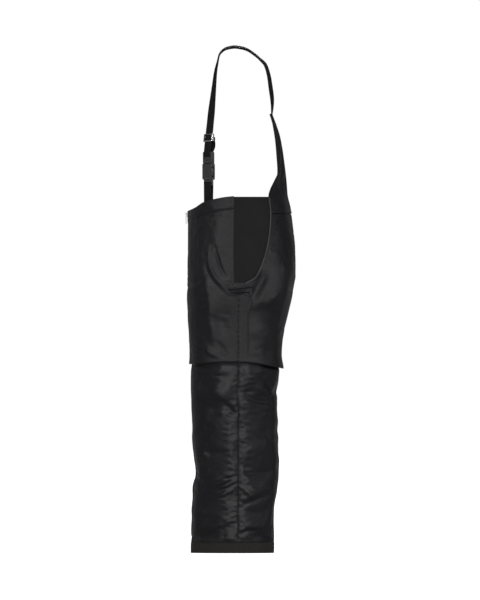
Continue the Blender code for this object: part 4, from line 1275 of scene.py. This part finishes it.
def strap_mesh(name, stations, side, cup=0.0, slope=0.0):
    """Flat webbing with rounded edges through (X, Y, Z, turn) stations. Cup bows it across its start, and
    slope lowers its outer edge where it lies over the shoulder."""
    line, run = smooth_stations(stations, 0.0025)
    tangent = np.gradient(line[:, :3], axis=0)
    tangent /= np.linalg.norm(tangent, axis=1, keepdims=True)
    turn = np.radians(line[:, 3])
    lying = slope * np.abs(tangent[:, 1]) ** 0.7 * ease(line[:, 2], 1.27, 1.33)
    across = np.stack([np.cos(turn), np.sin(turn), -lying], -1)
    across /= np.linalg.norm(across, axis=1, keepdims=True)
    line[:, 2] -= 0.4 * WEBBING_WIDTH * lying
    normal = np.cross(across, tangent)
    normal /= np.linalg.norm(normal, axis=1, keepdims=True)
    half = WEBBING_THICKNESS / 2
    bowing = cup * ease(0.42 - run, 0.0, 0.12)
    shares = np.array([-1.0, -0.992, -0.96, -0.8, -0.5, -0.2, 0.2, 0.5, 0.8, 0.96, 0.992, 1.0])
    top = np.array([0.0, 0.55, 0.9, 1.0, 1.0, 1.0, 1.0, 1.0, 1.0, 0.9, 0.55, 0.0]) * half
    loop = [(s, t) for s, t in zip(shares, top)] + [(s, -t) for s, t in zip(shares[-2:0:-1], top[-2:0:-1])]
    points = np.zeros((len(line), len(loop), 3))
    for k, (share, lift) in enumerate(loop):
        rise = (lift + bowing * (share ** 2 - 0.33))[:, None]
        points[:, k] = line[:, :3] + across * (share * WEBBING_WIDTH / 2) + normal * rise
    points = mirrored(points, side)
    faces = tube_faces(len(line), len(loop), side < 0, side > 0)
    share_grid = np.broadcast_to(np.array([s for s, _ in loop]) * WEBBING_WIDTH / 2, points.shape[:2])
    run_grid = np.broadcast_to(run[:, None], points.shape[:2])
    item = add_mesh(name, points, faces, "webbing", (share_grid, run_grid))
    return item, line, across, normal


def bar_tack(line, across, normal, at, side):
    """Three short rows of close stitches across a strap."""
    shares = np.linspace(-0.42, 0.42, 30)[:, None]
    for k in (at, at + 2, at + 4):
        points = line[k, :3] + across[k] * shares * WEBBING_WIDTH + normal[k] * (WEBBING_THICKNESS / 2)
        up = np.repeat(mirrored(normal[k], side)[None], 30, 0)
        stitch("root", mirrored(points, side), up, pitch=0.0026, length=0.0018)


def brace_webbing(label, side):
    """One length of webbing from the cloth brace over the shoulder and round the plug's bar."""
    stations = [tuple(p) for p in SHOULDER_LINE]
    for lift in (0.12, 0.09, 0.06, 0.03, 0.004):
        stations.append((*strap_run(lift), STRAP_TURN_DEG - 30.0 * max(lift - 0.06, 0.0)))
    stations += bar_wrap(MALE_BAR_UP, -0.0096)
    stations.append((*strap_run(0.0016, -BAR_REACH), STRAP_TURN_DEG))
    item, line, across, normal = strap_mesh(f"brace_webbing_{label}", stations, side, cup=0.0016, slope=0.13)
    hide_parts(f"shoulder_webbing_{label}", f"front_webbing_{label}")
    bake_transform(item)
    bar_tack(line, across, normal, 3, side)


def adjuster_tail(label, side):
    """The webbing's returning layer, behind it, from the plug's bar up to the tri-glide."""
    path = (
        (0.0016, -BAR_REACH), (0.008, -0.0064), (0.016, -0.008), (0.025, -0.0072), (0.033, -0.0054),
        (TRIGLIDE_LIFT + 0.0015, -0.005),
    )
    stations = [(*strap_run(lift, out), STRAP_TURN_DEG) for lift, out in path]
    item = strap_mesh(f"adjuster_tail_{label}_webbing", stations, side)[0]
    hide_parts(f"adjuster_tail_{label}")
    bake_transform(item)


def anchor_loop(label, side):
    """The webbing from the bib, round the socket's bar and back, sewn to itself."""
    foot = np.array((0.1185, -0.093, 0.975))
    front, rear = [], []
    for share in (0.0, 0.35, 0.7, 1.0):
        turn = math.radians(ANCHOR_TURN_DEG + (STRAP_TURN_DEG - ANCHOR_TURN_DEG) * share)
        outward = np.array((math.sin(turn), -math.cos(turn), 0.0))
        for shift, run in ((0.0, front), (-2 * BAR_REACH, rear)):
            bar = buckle_point(BAR_REACH + shift, FEMALE_BAR_UP - 0.007)
            start = foot + outward * (0.0011 + 0.3 * shift)
            run.append((*(start + (bar - start) * share), math.degrees(turn)))
    stations = front + bar_wrap(FEMALE_BAR_UP, 0.008) + rear[::-1]
    item, line, across, normal = strap_mesh(f"anchor_loop_{label}_webbing", stations, side)
    settle(item, "root", "webbing", f"anchor_loop_{label}")
    middle = int(np.argmin(np.abs(line[:len(line) // 2, 2] - 1.022)))
    bar_tack(line, across, normal, middle, side)


# --- zip and fittings ---

def block(points, faces, size, at):
    """Adds an eight-cornered chamfered tooth to lists of points and faces."""
    base = len(points)
    for z, shrink in ((-0.5, 0.6), (-0.28, 1.0), (0.28, 1.0), (0.5, 0.6)):
        for x, y in ((-0.5, -0.5), (0.5, -0.5), (0.5, 0.5), (-0.5, 0.5)):
            narrow = 1.0 if shrink == 1.0 else 0.86
            points.append((at[0] + x * size[0] * narrow, at[1] + y * size[1] * shrink, at[2] + z * size[2]))
    for k in range(3):
        for j in range(4):
            i = (j + 1) % 4
            faces.append((base + 4 * k + j, base + 4 * k + i, base + 4 * k + 4 + i, base + 4 * k + 4 + j))
    faces.append((base + 3, base + 2, base + 1, base))
    faces.append((base + 12, base + 13, base + 14, base + 15))


def zip_parts():
    """Tapes with a corded edge and two rows of teeth that mesh with each other."""
    for label, side in SIDES:
        low, high = (np.array(v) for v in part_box(f"zip_chain_{label}"))
        middle_y = (low[1] + high[1]) / 2
        points, faces = [], []
        pitch = 0.0026
        count = int((high[2] - low[2]) / pitch)
        for k in range(count):
            z = low[2] + (k + 0.5 + (0.25 if side > 0 else -0.25)) * pitch
            block(points, faces, (0.0034, 0.0022, 0.0011), (side * 0.001, middle_y, z))
            block(points, faces, (0.0016, 0.0028, 0.0014), (side * 0.003, middle_y, z))
        points = np.array(points)
        flat = (points[:, 0], points[:, 2])
        item = add_mesh(f"zip_teeth_{label}", points, faces, "zinc", flat, smooth=False)
        settle(item, "root", "metal", f"zip_chain_{label}")

        low, high = (np.array(v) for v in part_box(f"zip_tape_{label}"))
        z = np.linspace(low[2], high[2], 60)[:, None] * np.ones((1, 14))
        reach = np.linspace(0.0016, 0.0126, 14)[None, :] * np.ones_like(z)
        y = (low[1] + high[1]) / 2 - 0.0005 * hump(reach - 0.0022, 0.001)
        grid = np.stack([reach, y, z], -1)
        across, up = flat_coordinates(grid)
        grid[..., 0] *= side
        item = add_mesh(f"zip_tape_{label}_cloth", grid, grid_faces(*grid.shape[:2], flip=side < 0), "tape",
                        (across, up))
        thicken(item, 0.0007, 0.0, levels=0)
        settle(item, "root", "tape", f"zip_tape_{label}")


def repaint():
    """Materials for the hard CAD nodes that stay."""
    for node, mat in (("buckle_female", "plastic"), ("buckle_male", "plastic"), ("prong_outer", "plastic"),
                      ("prong_inner", "plastic"), ("triglide", "metal"), ("zip_top_stop", "zinc")):
        for label, _ in SIDES:
            paint(f"{node}_{label}", mat)
    for node in ("zip_bottom_stop", "zip_slider", "zip_pull"):
        paint(node, "zinc")


def paint(node, mat):
    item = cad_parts[node]
    item.data.materials.clear()
    item.data.materials.append(mats[mat])
    for polygon in item.data.polygons:
        polygon.material_index = 0


# --- all of it ---

make_camera()
make_studio()
mats = make_materials()
for label, side in SIDES:
    for back in (False, True):
        shell_panel(label, side, back)
        leg_half(label, side, back)
    side_gusset(label, side)
    gusset_binding(label, side)
    side_tab(label, side)
    side_placket(label, side)
    bib_facing(label, side)
    leg_inside(label, side)
    hem_band(label, side)
    brace_base(label, side)
    brace_webbing(label, side)
    adjuster_tail(label, side)
    anchor_loop(label, side)
zip_parts()
make_stitching()
repaint()
